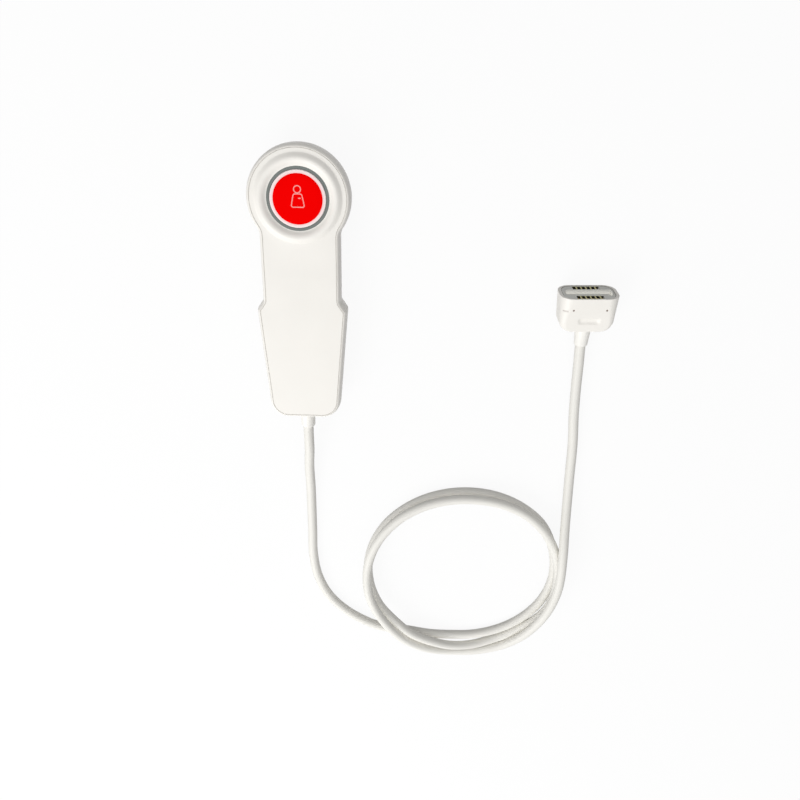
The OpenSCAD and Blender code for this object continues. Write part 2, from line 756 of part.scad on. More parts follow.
cord_sides = 12;
module cord() {
    color([0.95, 0.94, 0.91]) skin(tube(cord_path, cord_r, cord_sides, [0, -1, 0], plug_way));
}

// Rounded cross-sections of the plug at a distance y behind its face, y being negative
rim_x = 2;
rim_z = 1;
plug_lip = 0.25;
plug_corner_r = 6.6;
corner_shrink = 0.2;
plug_side_in = 0.9;
plug_round_l = 7;
plug_end_round = 1.6;
corner_steps = 6;
quadrants = [[1, 1], [-1, 1], [-1, -1], [1, -1]];
function rounded(w, h, r) =
    [for (q = [0:3]) for (i = [0:corner_steps])
        [quadrants[q].x * (w / 2 - r), quadrants[q].y * (h / 2 - r)]
            + dir(90 * q + 90 * i / corner_steps) * r];
function section(y, w, h, r) = [for (p = rounded(w, h, r)) [p.x, y, -p.y]];
function outer_section(y) =
    let (past_round = max(0, -y - plug_l + plug_round_l) / plug_round_l,
         past_end = max(0, -y - plug_l + plug_end_round) / plug_end_round)
    section(y,
        plug_w - 2 * plug_side_in * min(1, -y / (plug_l - plug_round_l))
            - 2 * plug_round_l * round_in(past_round),
        plug_t + 2 * y * tan(plug_taper) - 2 * plug_end_round * round_in(past_end),
        plug_corner_r + y * corner_shrink);
function inner_section(y) =
    section(y, plug_w - 2 * rim_x, plug_t - 2 * rim_z + 2 * y * tan(plug_taper),
        plug_corner_r - rim_z + y * corner_shrink);

pocket_d = 13;
insert_front = 0.3;
insert_back = 9.5;
jacket_bed = 1.5;

// Marks on the upper side: a finger scoop, two dots and a short dash
scoop_x = 0.7;
scoop_w = 13;
scoop_l = 4.2;
scoop_d = 0.7;
scoop_from_face = 14;
scoop_r = (pow(scoop_l / 2, 2) + pow(scoop_d, 2)) / (2 * scoop_d);
dot_x = 8.8;
dot_mid = 0.35;
dot_r = 0.55;
dot_from_face = 6.9;
dash_x = -10.6;
dash_w = 3;
dash_l = 0.9;
dash_from_face = 7.5;
mark_d = 0.35;
module on_upper_side(x, from_face) {
    translate([x, -from_face, plug_t / 2 - from_face * tan(plug_taper)])
        rotate([plug_taper, 0, 0]) children();
}
module plug_marks() {
    on_upper_side(scoop_x - scoop_w / 2, scoop_from_face)
        translate([0, 0, scoop_r - scoop_d]) rotate([0, 90, 0]) cylinder(r = scoop_r, h = scoop_w);
    for (s = [-1, 1]) on_upper_side(dot_mid + s * dot_x, dot_from_face)
        translate([0, 0, -mark_d]) cylinder(r = dot_r, h = mark_d + over);
    on_upper_side(dash_x, dash_from_face)
        translate([-dash_w / 2, -dash_l / 2, -mark_d]) cube([dash_w, dash_l, mark_d + over]);
}

module plug_shell() {
    body_l = plug_l - plug_round_l;
    ys = concat(
        [for (i = [1:4]) -body_l * i / 4],
        [for (i = [1:5]) -body_l - (plug_round_l - plug_end_round) * sin(18 * i)],
        [for (i = [1:4]) -plug_l + plug_end_round - plug_end_round * sin(22.5 * i)]);
    color([0.97, 0.96, 0.93]) at_plug() difference() {
        skin(concat(
            [inner_section(-pocket_d), inner_section(0)],
            [section(0, plug_w - 2 * plug_lip, plug_t - 2 * plug_lip, plug_corner_r - plug_lip)],
            [outer_section(-plug_lip)],
            [for (y = ys) outer_section(y)]));
        along_y([0, -plug_l - over, 0]) cylinder(r = cord_r, h = plug_l - pocket_d + 2 * over);
        plug_marks();
    }
}

// Insert with two rows of open cells and a slot whose right end turns up
slot_w = 24.4;
slot_h = 3.2;
slot_d = 8;
hook_w = 1.3;
hook_h = 3.6;
key_gap = 0.1;
key_proud = 2;
cell_w = 1.8;
cell_h = 3.6;
cell_d = 7;
contact_w = 1.1;
contact_xs = [for (i = [0:contact_count - 1]) (i - (contact_count - 1) / 2) * contact_pitch];

module hooked_bar(gap, front) {
    translate([0, front, 0]) rotate([90, 0, 0]) linear_extrude(front + slot_d) {
        translate([gap - slot_w / 2, gap - slot_h / 2])
            square([slot_w - 2 * gap, slot_h - 2 * gap]);
        translate([gap + slot_w / 2 - hook_w, gap - slot_h / 2])
            square([hook_w - 2 * gap, hook_h + slot_h / 2 - 2 * gap]);
    }
}

module plug_insert() {
    color([0.72, 0.73, 0.72]) at_plug() difference() {
        skin([inner_section(-insert_back), inner_section(-insert_front)]);
        hooked_bar(0, over);
        for (s = [-1, 1]) for (x = contact_xs)
            translate([x - cell_w / 2, -cell_d, s * row_z - cell_h / 2])
                cube([cell_w, cell_d + over, cell_h]);
    }
}

// Pale bar in the slot, hooked so that the socket takes the plug one way up only
module plug_key() {
    color([0.95, 0.93, 0.86]) at_plug() hooked_bar(key_gap, key_proud - insert_front);
}

// Spring finger with a crowned nose, standing on the inner wall of its cell
finger_t = 0.35;
finger_rise = 1.7;
finger_foot = 1.5;
finger_crown = 1.2;
finger_nose = 0.8;
nose_y = -insert_front - finger_crown;
module contact_row(s) {
    at_plug() for (x = contact_xs)
        translate([x + contact_w / 2, 0, s * (row_z - cell_h / 2)]) rotate([0, -90, 0])
            linear_extrude(contact_w) scale([s, 1]) polygon([
                [0, -cell_d], [finger_t, -cell_d], [finger_t, finger_foot - cell_d],
                [finger_rise + finger_t, nose_y - 2 * finger_nose],
                [finger_rise + finger_t, nose_y - finger_nose], [finger_t * 2, nose_y],
                [finger_t, nose_y], [finger_rise - finger_t, nose_y - 2 * finger_nose],
                [0, finger_foot - cell_d]]);
}
module contacts_upper() {
    color([0.86, 0.66, 0.22]) contact_row(1);
}
module contacts_lower() {
    color([0.86, 0.66, 0.22]) contact_row(-1);
}

module plug_premould() {
    color([0.8, 0.8, 0.79]) at_plug() difference() {
        skin([inner_section(-pocket_d), inner_section(-insert_back)]);
        along_y([0, -pocket_d - over, 0]) cylinder(r = cord_r, h = jacket_bed + over);
    }
}

plug_relief_r = 4.1;
plug_relief_end_r = 3.7;
plug_relief_edge = 0.3;
module plug_relief() {
    color([0.95, 0.94, 0.91]) at_plug() along_y([0, -plug_l - plug_relief_l, 0])
        rotate_extrude() polygon([[cord_r, 0], [plug_relief_end_r - plug_relief_edge, 0],
            [plug_relief_end_r, plug_relief_edge], [plug_relief_r, plug_relief_l],
            [cord_r, plug_relief_l]]);
}

module plug_jacket() {
    color([0.95, 0.94, 0.91]) at_plug() along_y([0, -plug_l - plug_relief_l, 0])
        cylinder(r = cord_r, h = plug_relief_l + plug_l - pocket_d + jacket_bed);
}

front_shell();
rear_shell();
shell_gasket();
shell_screws();
bezel_ring();
button_cap();
button_label();
return_spring();
circuit_board();
board_screws();
board_chips();
leds();
switch_base();
switch_plunger();
wire_header();
lead_plug();
inner_leads();
jacket_tail();
cord_clamp();
clamp_screws();
handset_relief();
cord();
plug_shell();
plug_insert();
plug_key();
contacts_upper();
contacts_lower();
plug_premould();
plug_relief();
plug_jacket();
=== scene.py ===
from functools import partialmethod
from math import acos, atan2, cos, degrees, pi, radians, sqrt, sin, tan

import bmesh
import bpy
import numpy as np
from mathutils import Matrix, Vector


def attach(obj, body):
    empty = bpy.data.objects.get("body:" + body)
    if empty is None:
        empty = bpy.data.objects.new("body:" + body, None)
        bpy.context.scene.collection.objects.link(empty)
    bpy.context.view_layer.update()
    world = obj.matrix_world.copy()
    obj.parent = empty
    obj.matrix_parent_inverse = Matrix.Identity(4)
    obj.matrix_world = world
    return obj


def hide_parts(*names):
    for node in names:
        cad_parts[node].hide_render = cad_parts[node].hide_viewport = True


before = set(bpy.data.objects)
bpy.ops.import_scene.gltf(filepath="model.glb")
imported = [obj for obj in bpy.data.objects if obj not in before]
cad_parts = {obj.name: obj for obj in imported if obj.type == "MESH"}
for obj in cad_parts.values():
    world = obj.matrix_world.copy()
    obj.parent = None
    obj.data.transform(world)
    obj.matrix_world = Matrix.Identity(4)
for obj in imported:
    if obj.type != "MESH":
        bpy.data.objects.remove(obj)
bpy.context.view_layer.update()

mm = 0.001
tiny = 1e-7  # metres: points nearer than this are one
print("frame loaded with", len(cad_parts), "nodes")


def pick(plan, names):
    # Several values of a plan, their names in one string
    return [plan[name] for name in names.split()]


def newObject(name, data):
    # An object at the origin, in the scene
    thing = bpy.data.objects.new(name, data)
    bpy.context.scene.collection.objects.link(thing)
    return thing


# Camera

cameraPlan = {
    "place": (0.05173, 0.1006, 0.37044),  # metres, above the head of the handset
    "target": (0.05267, -0.0702, 0.0),  # the floor in the middle of the picture
    "roll": 1.52,  # degrees
    "view": 60.0,  # degrees across the square picture
    "sensor": 36.0, "near": 0.01, "far": 20,
}


def makeCamera(plan):
    # From its place it looks at the target, rolled about that line of sight
    place, target = Vector(plan["place"]), Vector(plan["target"])
    back = (place - target).normalized()
    level = Vector((0, 1, 0)).cross(back).normalized()
    rise = back.cross(level)
    roll = radians(plan["roll"])
    right = level * cos(roll) + rise * sin(roll)
    lens = bpy.data.cameras.new("camera")
    lens.sensor_width = plan["sensor"]
    lens.lens = plan["sensor"] / 2 / tan(radians(plan["view"]) / 2)
    lens.clip_start, lens.clip_end = plan["near"], plan["far"]
    camera = newObject("camera", lens)
    turn = Matrix((right, back.cross(right), back)).transposed()
    camera.matrix_world = Matrix.Translation(place) @ turn.to_4x4()
    bpy.context.scene.camera = camera


makeCamera(cameraPlan)
print("camera ready")


# Shapes: every surface is a grid of points, rows by columns, in millimetres

def gridQuads(rows, columns, closeRows):
    # Four corner numbers of each quad between neighbouring rows. Columns go all round.
    row = np.arange(rows if closeRows else rows - 1)[:, None]
    column = np.arange(columns)
    nextRow, nextColumn = (row + 1) % rows, (column + 1) % columns
    return gridOf(row * columns + column, row * columns + nextColumn,
                  nextRow * columns + nextColumn, nextRow * columns + column).reshape(-1, 4)


def makePiece(name, grids, material, replaced=(), body="handset", flatLevels=(),
              closeRows=False, sharpAngle=32, vectors=None):
    # Joins the grids into one closed mesh. Loops left open at a flat level get a flat lid.
    points = np.concatenate([grid.reshape(-1, 3) for grid in grids]) * mm
    starts = np.cumsum([0] + [grid.shape[0] * grid.shape[1] for grid in grids])
    quads = np.concatenate([gridQuads(*grid.shape[:2], closeRows) + start
                            for grid, start in zip(grids, starts)])
    mesh = bpy.data.meshes.new(name)
    mesh.from_pydata(points, [], quads)
    for key, values in (vectors or {}).items():
        layer = mesh.attributes.new(key, "FLOAT_VECTOR", "POINT")
        flat = np.concatenate([part.reshape(-1) for part in values])
        layer.data.foreach_set("vector", flat.astype(np.float32))
    work = bmesh.new()
    work.from_mesh(mesh)
    bmesh.ops.remove_doubles(work, verts=work.verts, dist=tiny)
    for face in work.faces:
        face.smooth = True
    for level in flatLevels:
        edges = [edge for edge in work.edges if edge.is_boundary
                 and all(abs(corner.co.z - level * mm) < tiny for corner in edge.verts)]
        bmesh.ops.triangle_fill(work, use_beauty=True, edges=edges, normal=(0, 0, 1))
    bmesh.ops.recalc_face_normals(work, faces=work.faces)
    left = sum(edge.is_boundary or not edge.is_manifold for edge in work.edges)
    work.to_mesh(mesh)
    work.free()
    mesh.set_sharp_from_angle(angle=radians(sharpAngle))
    mesh.materials.append(material)
    piece = newObject(name, mesh)
    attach(piece, body)
    if replaced:
        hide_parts(*replaced)
    print("made", name, "with", len(mesh.polygons), "faces,", left, "open edges")
    return piece


def gridOf(*parts):
    # Points or directions from the arrays of their coordinates
    return np.stack(np.broadcast_arrays(*parts), axis=-1)


def fullTurn(steps):
    # Cosines and sines at even steps round a circle
    turn = np.linspace(0, 2 * pi, steps, endpoint=False)
    return np.cos(turn), np.sin(turn)


def arc(fromAngle, toAngle, steps):
    # Cosines and sines at even steps between two angles in degrees
    turn = np.radians(np.linspace(fromAngle, toAngle, steps + 1))
    return np.cos(turn), np.sin(turn)


def revolve(profile, centre=(0, 0), steps=64):
    # Each (radius, height) of the profile turns about the upright line through the centre
    radius, height = np.asarray(profile, float).T[:, :, None]
    cosines, sines = fullTurn(steps)
    return gridOf(centre[0] + radius * cosines, centre[1] + radius * sines, height)


def roundedCorner(centre, radius, fromAngle, toAngle, steps=8):
    # Points on an arc about the centre
    cosines, sines = arc(fromAngle, toAngle, steps)
    return list(zip(centre[0] + radius * cosines, centre[1] + radius * sines))


def roundIn(share):
    # How far a quarter circle of radius 1 has turned in at a share of its height
    return 1 - np.sqrt(np.maximum(0, 1 - share ** 2))


def lengths(vectors):
    # Square root of the sum of the squares of each vector's coordinates
    return np.linalg.norm(vectors, axis=-1, keepdims=True)


# Finishes

def screenColour(red, green, blue):
    # 0 to 255 as a screen shows it, to the linear values that a shader takes
    share = np.array((red, green, blue)) / 255
    linear = np.where(share <= 0.04045, share / 12.92, ((share + 0.055) / 1.055) ** 2.4)
    return (*linear.tolist(), 1.0)


def plug(value, socket):
    # Links a node's output to the socket, or sets a plain value on it
    if isinstance(value, nodeValue):
        value.tree.links.new(value.socket, socket)
    else:
        socket.default_value = value


def addNode(tree, kind, settings=None, **inputs):
    # Underscores stand for the spaces in an input's name. Gives the outputs by name.
    node = tree.nodes.new(kind)
    for key, value in (settings or {}).items():
        setattr(node, key, value)
    for key, value in inputs.items():
        plug(value, node.inputs[key.replace("_", " ")])
    return {socket.name: nodeValue(socket) for socket in node.outputs}


class nodeValue:
    # A node's output. Arithmetic with it adds the nodes that work out the result.
    def __init__(self, socket):
        self.socket, self.tree = socket, socket.id_data

    def through(self, kind, settings, others, places=(0, 1), output=0):
        # Output of a new node, with this value and the others at its numbered inputs
        node = self.tree.nodes.new(kind)
        for key, value in settings.items():
            setattr(node, key, value)
        for place, value in zip(places, (self, *others)):
            plug(value, node.inputs[place])
        return nodeValue(node.outputs[output])

    def math(self, operation, *others):
        return self.through("ShaderNodeMath", {"operation": operation}, others)

    def stretched(self, factors):
        return self.through("ShaderNodeVectorMath", {"operation": "MULTIPLY"}, [factors])

    def mixed(self, first, second):
        # The first colour where this value is 0, the second where it is 1
        return self.through("ShaderNodeMix", {"data_type": "RGBA"}, (first, second),
                            places=(0, 6, 7), output=2)

    def noise(self, scale, detail=2, roughness=0.5):
        return addNode(self.tree, "ShaderNodeTexNoise", Vector=self, Scale=scale,
                       Detail=detail, Roughness=roughness)["Fac"]

    def spread(self, fromLow, fromHigh, toLow=0, toHigh=1):
        # From one range to another, and never past its ends
        return addNode(self.tree, "ShaderNodeMapRange", {"clamp": True}, Value=self,
                       From_Min=fromLow, From_Max=fromHigh, To_Min=toLow,
                       To_Max=toHigh)["Result"]

    def axes(self):
        return list(addNode(self.tree, "ShaderNodeSeparateXYZ", Vector=self).values())

    __add__, __sub__ = partialmethod(math, "ADD"), partialmethod(math, "SUBTRACT")
    __mul__, __pow__ = partialmethod(math, "MULTIPLY"), partialmethod(math, "POWER")
    __lt__, __gt__ = partialmethod(math, "LESS_THAN"), partialmethod(math, "GREATER_THAN")
    __abs__, orMore = partialmethod(math, "ABSOLUTE"), partialmethod(math, "MAXIMUM")


def newGroup(name, inputs, outputs):
    # A socket's kind follows from its value: a number, a vector of 3 or a colour of 4
    group = bpy.data.node_groups.new(name, "ShaderNodeTree")
    for way, sockets in (("INPUT", inputs), ("OUTPUT", outputs)):
        for label, value in sockets.items():
            kind = "NodeSocket" + {1: "Float", 3: "Vector", 4: "Color"}[np.size(value)]
            socket = group.interface.new_socket(label, in_out=way, socket_type=kind)
            socket.default_value = value
    given = addNode(group, "NodeGroupInput")
    return group, given, group.nodes.new("NodeGroupOutput").inputs


def makeMouldedSkin():
    # Moulded plastic or rubber: clouds of tone, fine spark grain and settled dust
    group, given, result = newGroup(
        "mouldedSkin",
        {"Vector": (0, 0, 0), "Colour": (1, 1, 1, 1), "Shade Shift": 0.02, "Cloud Scale": 60,
         "Grain Scale": 3000, "Roughness": 0.4, "Roughness Shift": 0.08, "Dust": 0.05},
        {"Colour": (0, 0, 0, 1), "Roughness": 0, "Height": 0})
    coords = given["Vector"]
    cloud = coords.noise(given["Cloud Scale"], 3) - 0.5
    speck = coords.noise(given["Cloud Scale"] * 14, 4, 0.7)
    toned = addNode(group, "ShaderNodeHueSaturation", Color=given["Colour"],
                    Value=cloud * (given["Shade Shift"] * 4) + 1)
    upward = addNode(group, "ShaderNodeNewGeometry")["Normal"].axes()[2]
    dust = upward.spread(0.3, 1) * speck.spread(0.62, 0.75) * given["Dust"]
    plug(dust.mixed(toned["Color"], screenColour(196, 190, 180)), result["Colour"])
    rough = cloud * (given["Roughness Shift"] * 2) + given["Roughness"]
    plug(rough + dust * 0.3, result["Roughness"])
    plug(coords.noise(given["Grain Scale"]), result["Height"])
    return group


def makeHandMarks():
    # Marks of use: soft finger smears and sparse fine scratches
    group, given, result = newGroup(
        "handMarks", {"Vector": (0, 0, 0), "Smear Scale": 45, "Scratch Scale": 220,
                      "Scratches": 0.5}, {"Smear": 0, "Scratch": 0})
    coords, smearScale = given["Vector"], given["Smear Scale"]
    plug(coords.noise(smearScale, 4, 0.6).spread(0.52, 0.72), result["Smear"])
    lines = addNode(group, "ShaderNodeTexVoronoi", {"feature": "DISTANCE_TO_EDGE"},
                    Vector=coords, Scale=given["Scratch Scale"], Randomness=1.0)["Distance"]
    kept = lines.spread(0, 0.012, 1, 0) * coords.noise(smearScale).spread(0.58, 0.64)
    plug(kept * given["Scratches"], result["Scratch"])
    return group


def makeMetalLines():
    # Drawn or rolled metal: long thin streaks along one direction
    group, given, result = newGroup(
        "metalLines",
        {"Vector": (0, 0, 0), "Stretch": (1, 1, 1), "Line Scale": 2500,
         "Colour": (1, 1, 1, 1), "Roughness": 0.3},
        {"Colour": (0, 0, 0, 1), "Roughness": 0, "Height": 0})
    coords = given["Vector"]
    lines = coords.stretched(given["Stretch"]).noise(given["Line Scale"], 3, 0.6)
    tone = addNode(group, "ShaderNodeHueSaturation", Color=given["Colour"],
                   Value=coords.noise(350, 3).spread(0.3, 0.7, 0.86, 1.06))
    plug(tone["Color"], result["Colour"])
    plug((lines - 0.5) * 0.3 + given["Roughness"], result["Roughness"])
    plug(lines, result["Height"])
    return group


mouldedSkin = makeMouldedSkin()
handMarks = makeHandMarks()
metalLines = makeMetalLines()


def objectCoords(tree):
    # Where a point lies on the object, in metres
    return addNode(tree, "ShaderNodeTexCoord")["Object"]


def distance(across, along):
    # Square root of the sum of the two squares
    return (across ** 2 + along ** 2) ** 0.5


def newMaterial(name):
    # A node material with its tree and the inputs of its shader
    material = bpy.data.materials.new(name)
    material.use_nodes = True
    tree = material.node_tree
    return material, tree, tree.nodes["Principled BSDF"].inputs


def dressShader(tree, shader, colour, roughness, height, relief):
    # Relief is the real height of the surface's grain in millimetres
    bump = addNode(tree, "ShaderNodeBump", Height=height, Strength=1.0, Distance=relief * mm)
    plug(colour, shader["Base Color"])
    plug(roughness, shader["Roughness"])
    plug(bump["Normal"], shader["Normal"])


plasticDefaults = {"shadeShift": 0.012, "cloudScale": 60, "grainScale": 3000, "dust": 0.05,
                   "scratches": 0.3, "smear": 0.05, "relief": 0.01, "shine": 0.5}


def plasticFinish(name, look, coords=objectCoords, colour=None):
    # Look gives the colour and the surface. A function may give the colour instead.
    material, tree, shader = newMaterial(name)
    vector = coords(tree)
    tint = colour(tree) if colour else screenColour(*look["colour"])
    look = {**plasticDefaults, **look}
    skin = addNode(tree, "ShaderNodeGroup", {"node_tree": mouldedSkin}, Vector=vector,
                   Colour=tint, Shade_Shift=look["shadeShift"],
                   Cloud_Scale=look["cloudScale"], Grain_Scale=look["grainScale"],
                   Roughness=look["roughness"], Dust=look["dust"])
    marks = addNode(tree, "ShaderNodeGroup", {"node_tree": handMarks}, Vector=vector,
                    Scratches=look["scratches"])
    scratch = marks["Scratch"]
    rough = marks["Smear"] * -look["smear"] + skin["Roughness"] + scratch * 0.2
    dressShader(tree, shader, skin["Colour"], rough, skin["Height"] - scratch, look["relief"])
    shader["Specular IOR Level"].default_value = look["shine"]
    return material


def metalFinish(name, colour, roughness, stretch, lineScale, relief):
    # Tone, roughness and relief all follow the metal's lines
    material, tree, shader = newMaterial(name)
    lines = addNode(tree, "ShaderNodeGroup", {"node_tree": metalLines},
                    Vector=objectCoords(tree), Stretch=stretch, Line_Scale=lineScale,
                    Colour=screenColour(*colour), Roughness=roughness)
    dressShader(tree, shader, lines["Colour"], lines["Roughness"], lines["Height"], relief)
    shader["Metallic"].default_value = 1.0
    return material


def dress(material, *nodes):
    # Gives a CAD node that stays in view its finish
    for node in nodes:
        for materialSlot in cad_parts[node].material_slots:
            materialSlot.material = material


shellLook = {
    "colour": (246, 243, 237), "roughness": 0.42, "grainScale": 2600, "relief": 0.006,
    "dust": 0.04, "shine": 0.4,
}
shellColour = screenColour(*shellLook["colour"])
# Colour of the painted shade in the fine lines of the shells
paintedShadeColour = screenColour(128, 126, 120)


def paintedLineShade(tree):
    # Painted shade in the fine lines of the shells: the piece's own coordinates say how much
    line = addNode(tree, "ShaderNodeAttribute", {"attribute_name": "line"})["Vector"]
    return line.axes()[0].mixed(shellColour, paintedShadeColour)


shellPlastic = plasticFinish("shellPlastic", shellLook, colour=paintedLineShade)
print("finishes ready")


# Plug frame: the face looks along +Y, the wedge lies flat on its underside

plugPlan = {
    "width": 31.4, "thickness": 19.0, "length": 21.0, "taper": 8.0, "turn": 1.6,
    "x": 151.7, "y": 0.4,
    "rimX": 2.0, "rimZ": 1.0, "lip": 0.25, "corner": 6.6, "cornerShrink": 0.2,
    "sideIn": 0.9, "roundLength": 7.0, "endRound": 1.6, "pocket": 13.0,
    "stepDepth": 0.15, "stepIn": (0.3, 0.38),  # the fine step inside the rim
    # Rows behind the face, (from, to, step), closest where the dots and the dash are
    "frontRows": (0.5, 6.0, 0.4), "markRows": (6.0, 8.3, 0.11), "middleRows": (8.6, 0.28),
    "sleeveLength": 10.2, "sleeveRadius": 4.4, "sleeveEndRadius": 3.7, "sleeveEdge": 0.3,
}
slope = tan(radians(plugPlan["taper"]))
plugFace = np.array((plugPlan["x"], plugPlan["y"],
                     plugPlan["thickness"] / 2 * cos(radians(plugPlan["taper"]))))
plugTurn = np.array(Matrix.Rotation(radians(plugPlan["turn"]), 3, "Z")
                    @ Matrix.Rotation(radians(plugPlan["taper"]), 3, "X"))
plugWay = plugTurn @ (0, 1, 0)
plugMouth = plugFace - plugWay * (plugPlan["length"] + plugPlan["sleeveLength"])


def toPlug(grid):
    # From the plug's own frame to the part's
    return plugFace + grid @ plugTurn.T


# Cord: out of the handset, two loose loops that ride over each other, and up to the plug

cordPlan = {
    "diameter": 5.8,
    "exit": (0, -72.75, 12),
    "mouth": (0, -83.75, 12),
    # Points as (x, y, height of the underside above the floor)
    "fromHandset": [(0, -89, 9.1), (0, -97, 8.1), (-1, -112, 4.1), (-1, -128, 0.9),
                    (-1, -144, 0), (-1, -162, 0), (-1, -180, 0), (2, -199, 0),
                    (9, -214.5, 0), (18, -225, 0), (30, -234, 0), (44, -240.5, 0)],
    "toPlug": [(158, -169, 11.3), (157.9, -153, 7.2), (158, -136, 3), (157.7, -117, 0.6),
               (157, -96, 0), (155, -74, 0), (154, -56, 0.1), (153.4, -43, 0.9)],
    "loopCentre": (97, -193),
    "loopAngles": (-125, 715, 15),  # degrees from, to and step
    "loopRadii": [(-125, 61), (-105, 54.5), (-90, 52.8), (-60, 54), (-20, 58.1), (0, 59.6),
                  (20, 60.4), (40, 62.2), (90, 62.4), (150, 63), (180, 62.4), (200, 60.8),
                  (220, 57.8), (250, 56.7), (262, 58), (275, 60), (330, 62.4), (360, 61),
                  (380, 61.3), (410, 62.2), (450, 61), (490, 62.2), (530, 62.8), (550, 62.6),
                  (565, 62), (580, 62), (600, 63.8), (630, 67.8), (645, 67.6), (660, 66.6),
                  (675, 63), (690, 60.4), (705, 59.6), (715, 60.3)],
    "loopLifts": [(-125, 0), (180, 0), (215, 4.6), (235, 6.6), (256, 6.6), (292, 0),
                  (310, 0), (345, 6.6), (535, 6.6), (555, 9.5), (585, 9.1), (604, 6.6),
                  (628, 0), (645, 0.6), (660, 2.8), (675, 7), (690, 10), (705, 12.5),
                  (715, 12.5)],
    "ringStep": 1.5, "sides": 28, "evenRings": 4,
}


def cordRoute(plan):
    # The loops are a circle whose radius and lift change with the angle, step by step
    start, stop, step = plan["loopAngles"]
    angles = np.arange(start, stop + step, step)
    radii, lifts = (np.interp(angles, *np.array(plan[key]).T)
                    for key in ("loopRadii", "loopLifts"))
    turn = np.radians(angles)
    loops = gridOf(plan["loopCentre"][0] + radii * np.cos(turn),
                   plan["loopCentre"][1] + radii * np.sin(turn), lifts)
    lying = np.concatenate((plan["fromHandset"], loops, plan["toPlug"]))
    lying[:, 2] += plan["diameter"] / 2
    return np.concatenate(([plan["exit"], plan["mouth"]], lying, [plugMouth]))


def smoothRoute(knots, firstWay, lastWay, plan):
    # A cubic through every knot, with the slope that its two neighbours give it, read at
    # even distances, kept on the floor, and with its height evened out over a few rings
    spans = lengths(np.diff(knots, axis=0))
    chords = np.diff(knots, axis=0) / spans
    ways = np.concatenate(([firstWay],
                           (chords[:-1] * spans[1:] + chords[1:] * spans[:-1])
                           / (spans[1:] + spans[:-1]), [lastWay]))
    marks = np.concatenate(([0], np.cumsum(spans)))
    at = np.linspace(0, marks[-1], int(marks[-1] / plan["ringStep"]) + 1)
    which = np.clip(np.searchsorted(marks, at, side="right") - 1, 0, len(spans) - 1)
    span = spans[which]
    share = ((at - marks[which]) / span[:, 0])[:, None]
    rest = 1 - share
    route = (knots[which] * rest ** 2 * (1 + 2 * share)
             + knots[which + 1] * share ** 2 * (1 + 2 * rest)
             + ways[which] * span * share * rest ** 2
             - ways[which + 1] * span * share ** 2 * rest)
    heights = np.maximum(route[:, 2], plan["diameter"] / 2)
    around, window = plan["evenRings"], 2 * plan["evenRings"] + 1
    heights = np.pad(heights, around, "reflect", reflect_type="odd")
    route[:, 2] = np.convolve(heights, np.full(window, 1 / window), "valid")
    return route


def sweep(route, firstWay, lastWay, plan):
    # A circle carried along the route, square to it, closed by a pole at each end. Also
    # gives each point's place on the skin: round the tube, and along it.
    ways = np.concatenate(([firstWay], route[2:] - route[:-2], [lastWay]))
    ways = ways / lengths(ways)
    side = np.cross(ways, (0, 0, 1))
    side = side / lengths(side)
    rise = np.cross(side, ways)
    centres, side, rise = (np.concatenate((part[:1], part, part[-1:]))[:, None]
                           for part in (route, side, rise))
    reach = np.full((len(centres), 1, 1), plan["diameter"] / 2)
    reach[[0, -1]] = 0
    cosines, sines = fullTurn(plan["sides"])
    tube = centres + reach * (side * cosines[:, None] + rise * sines[:, None])
    travelled = np.cumsum(lengths(np.diff(centres[:, 0], axis=0, prepend=centres[:1, 0])))
    return tube, gridOf(cosines, sines, travelled[:, None])


jacketLook = {
    "colour": (236, 234, 228), "roughness": 0.5, "cloudScale": 30, "grainScale": 1800,
    "relief": 0.008, "dust": 0.05, "shine": 0.35, "scratches": 0.1,
    "stretch": (2.6 * mm, 2.6 * mm, 0.08 * mm),  # long faint lines from the extruder
}


def jacketCoords(tree):
    # The cord's own coordinates: round the jacket, and along it
    skin = addNode(tree, "ShaderNodeAttribute", {"attribute_name": "jacket"})["Vector"]
    return skin.stretched(jacketLook["stretch"])


cordJacket = plasticFinish("cordJacket", jacketLook, coords=jacketCoords)
straightOut = np.array((0, -1, 0))
route = smoothRoute(cordRoute(cordPlan), straightOut, plugWay, cordPlan)
cordTube, cordSkin = sweep(route, straightOut, plugWay, cordPlan)
cord = makePiece("callCord", [cordTube], cordJacket, ["cord"], sharpAngle=60,
                 vectors={"jacket": [cordSkin]})


# Plug shell: one closed skin through the pocket, the rim, the outside and the cord hole

plugMarks = {
    "scoopX": 0.7, "scoopWidth": 13.0, "scoopLength": 4.2, "scoopDepth": 0.85,
    "scoopY": -13.7, "scoopFade": 2.6,
    "dotX": 8.8, "dotMid": 0.35, "dotRadius": 0.55, "dotY": -6.9, "dotDepth": 0.3,
    "dashX": -12.6, "dashWidth": 3.0, "dashLength": 0.9, "dashY": -7.5, "dashDepth": 0.15,
    "softEdge": 0.15, "softEnd": 0.2,
    # distances over which the painted shade at the bottoms of dots and dash fades out
    "dotShade": (0.42, 0.62), "dashEndShade": (1.3, 1.6), "dashSideShade": (0.3, 0.5),
    # how much of that painted shade the dash takes, its colour, and the painted shade of the fine
    # line inside the rim
    "dashShare": 0.4, "colour": (140, 124, 116), "rimPaintedShade": 0.8,
}


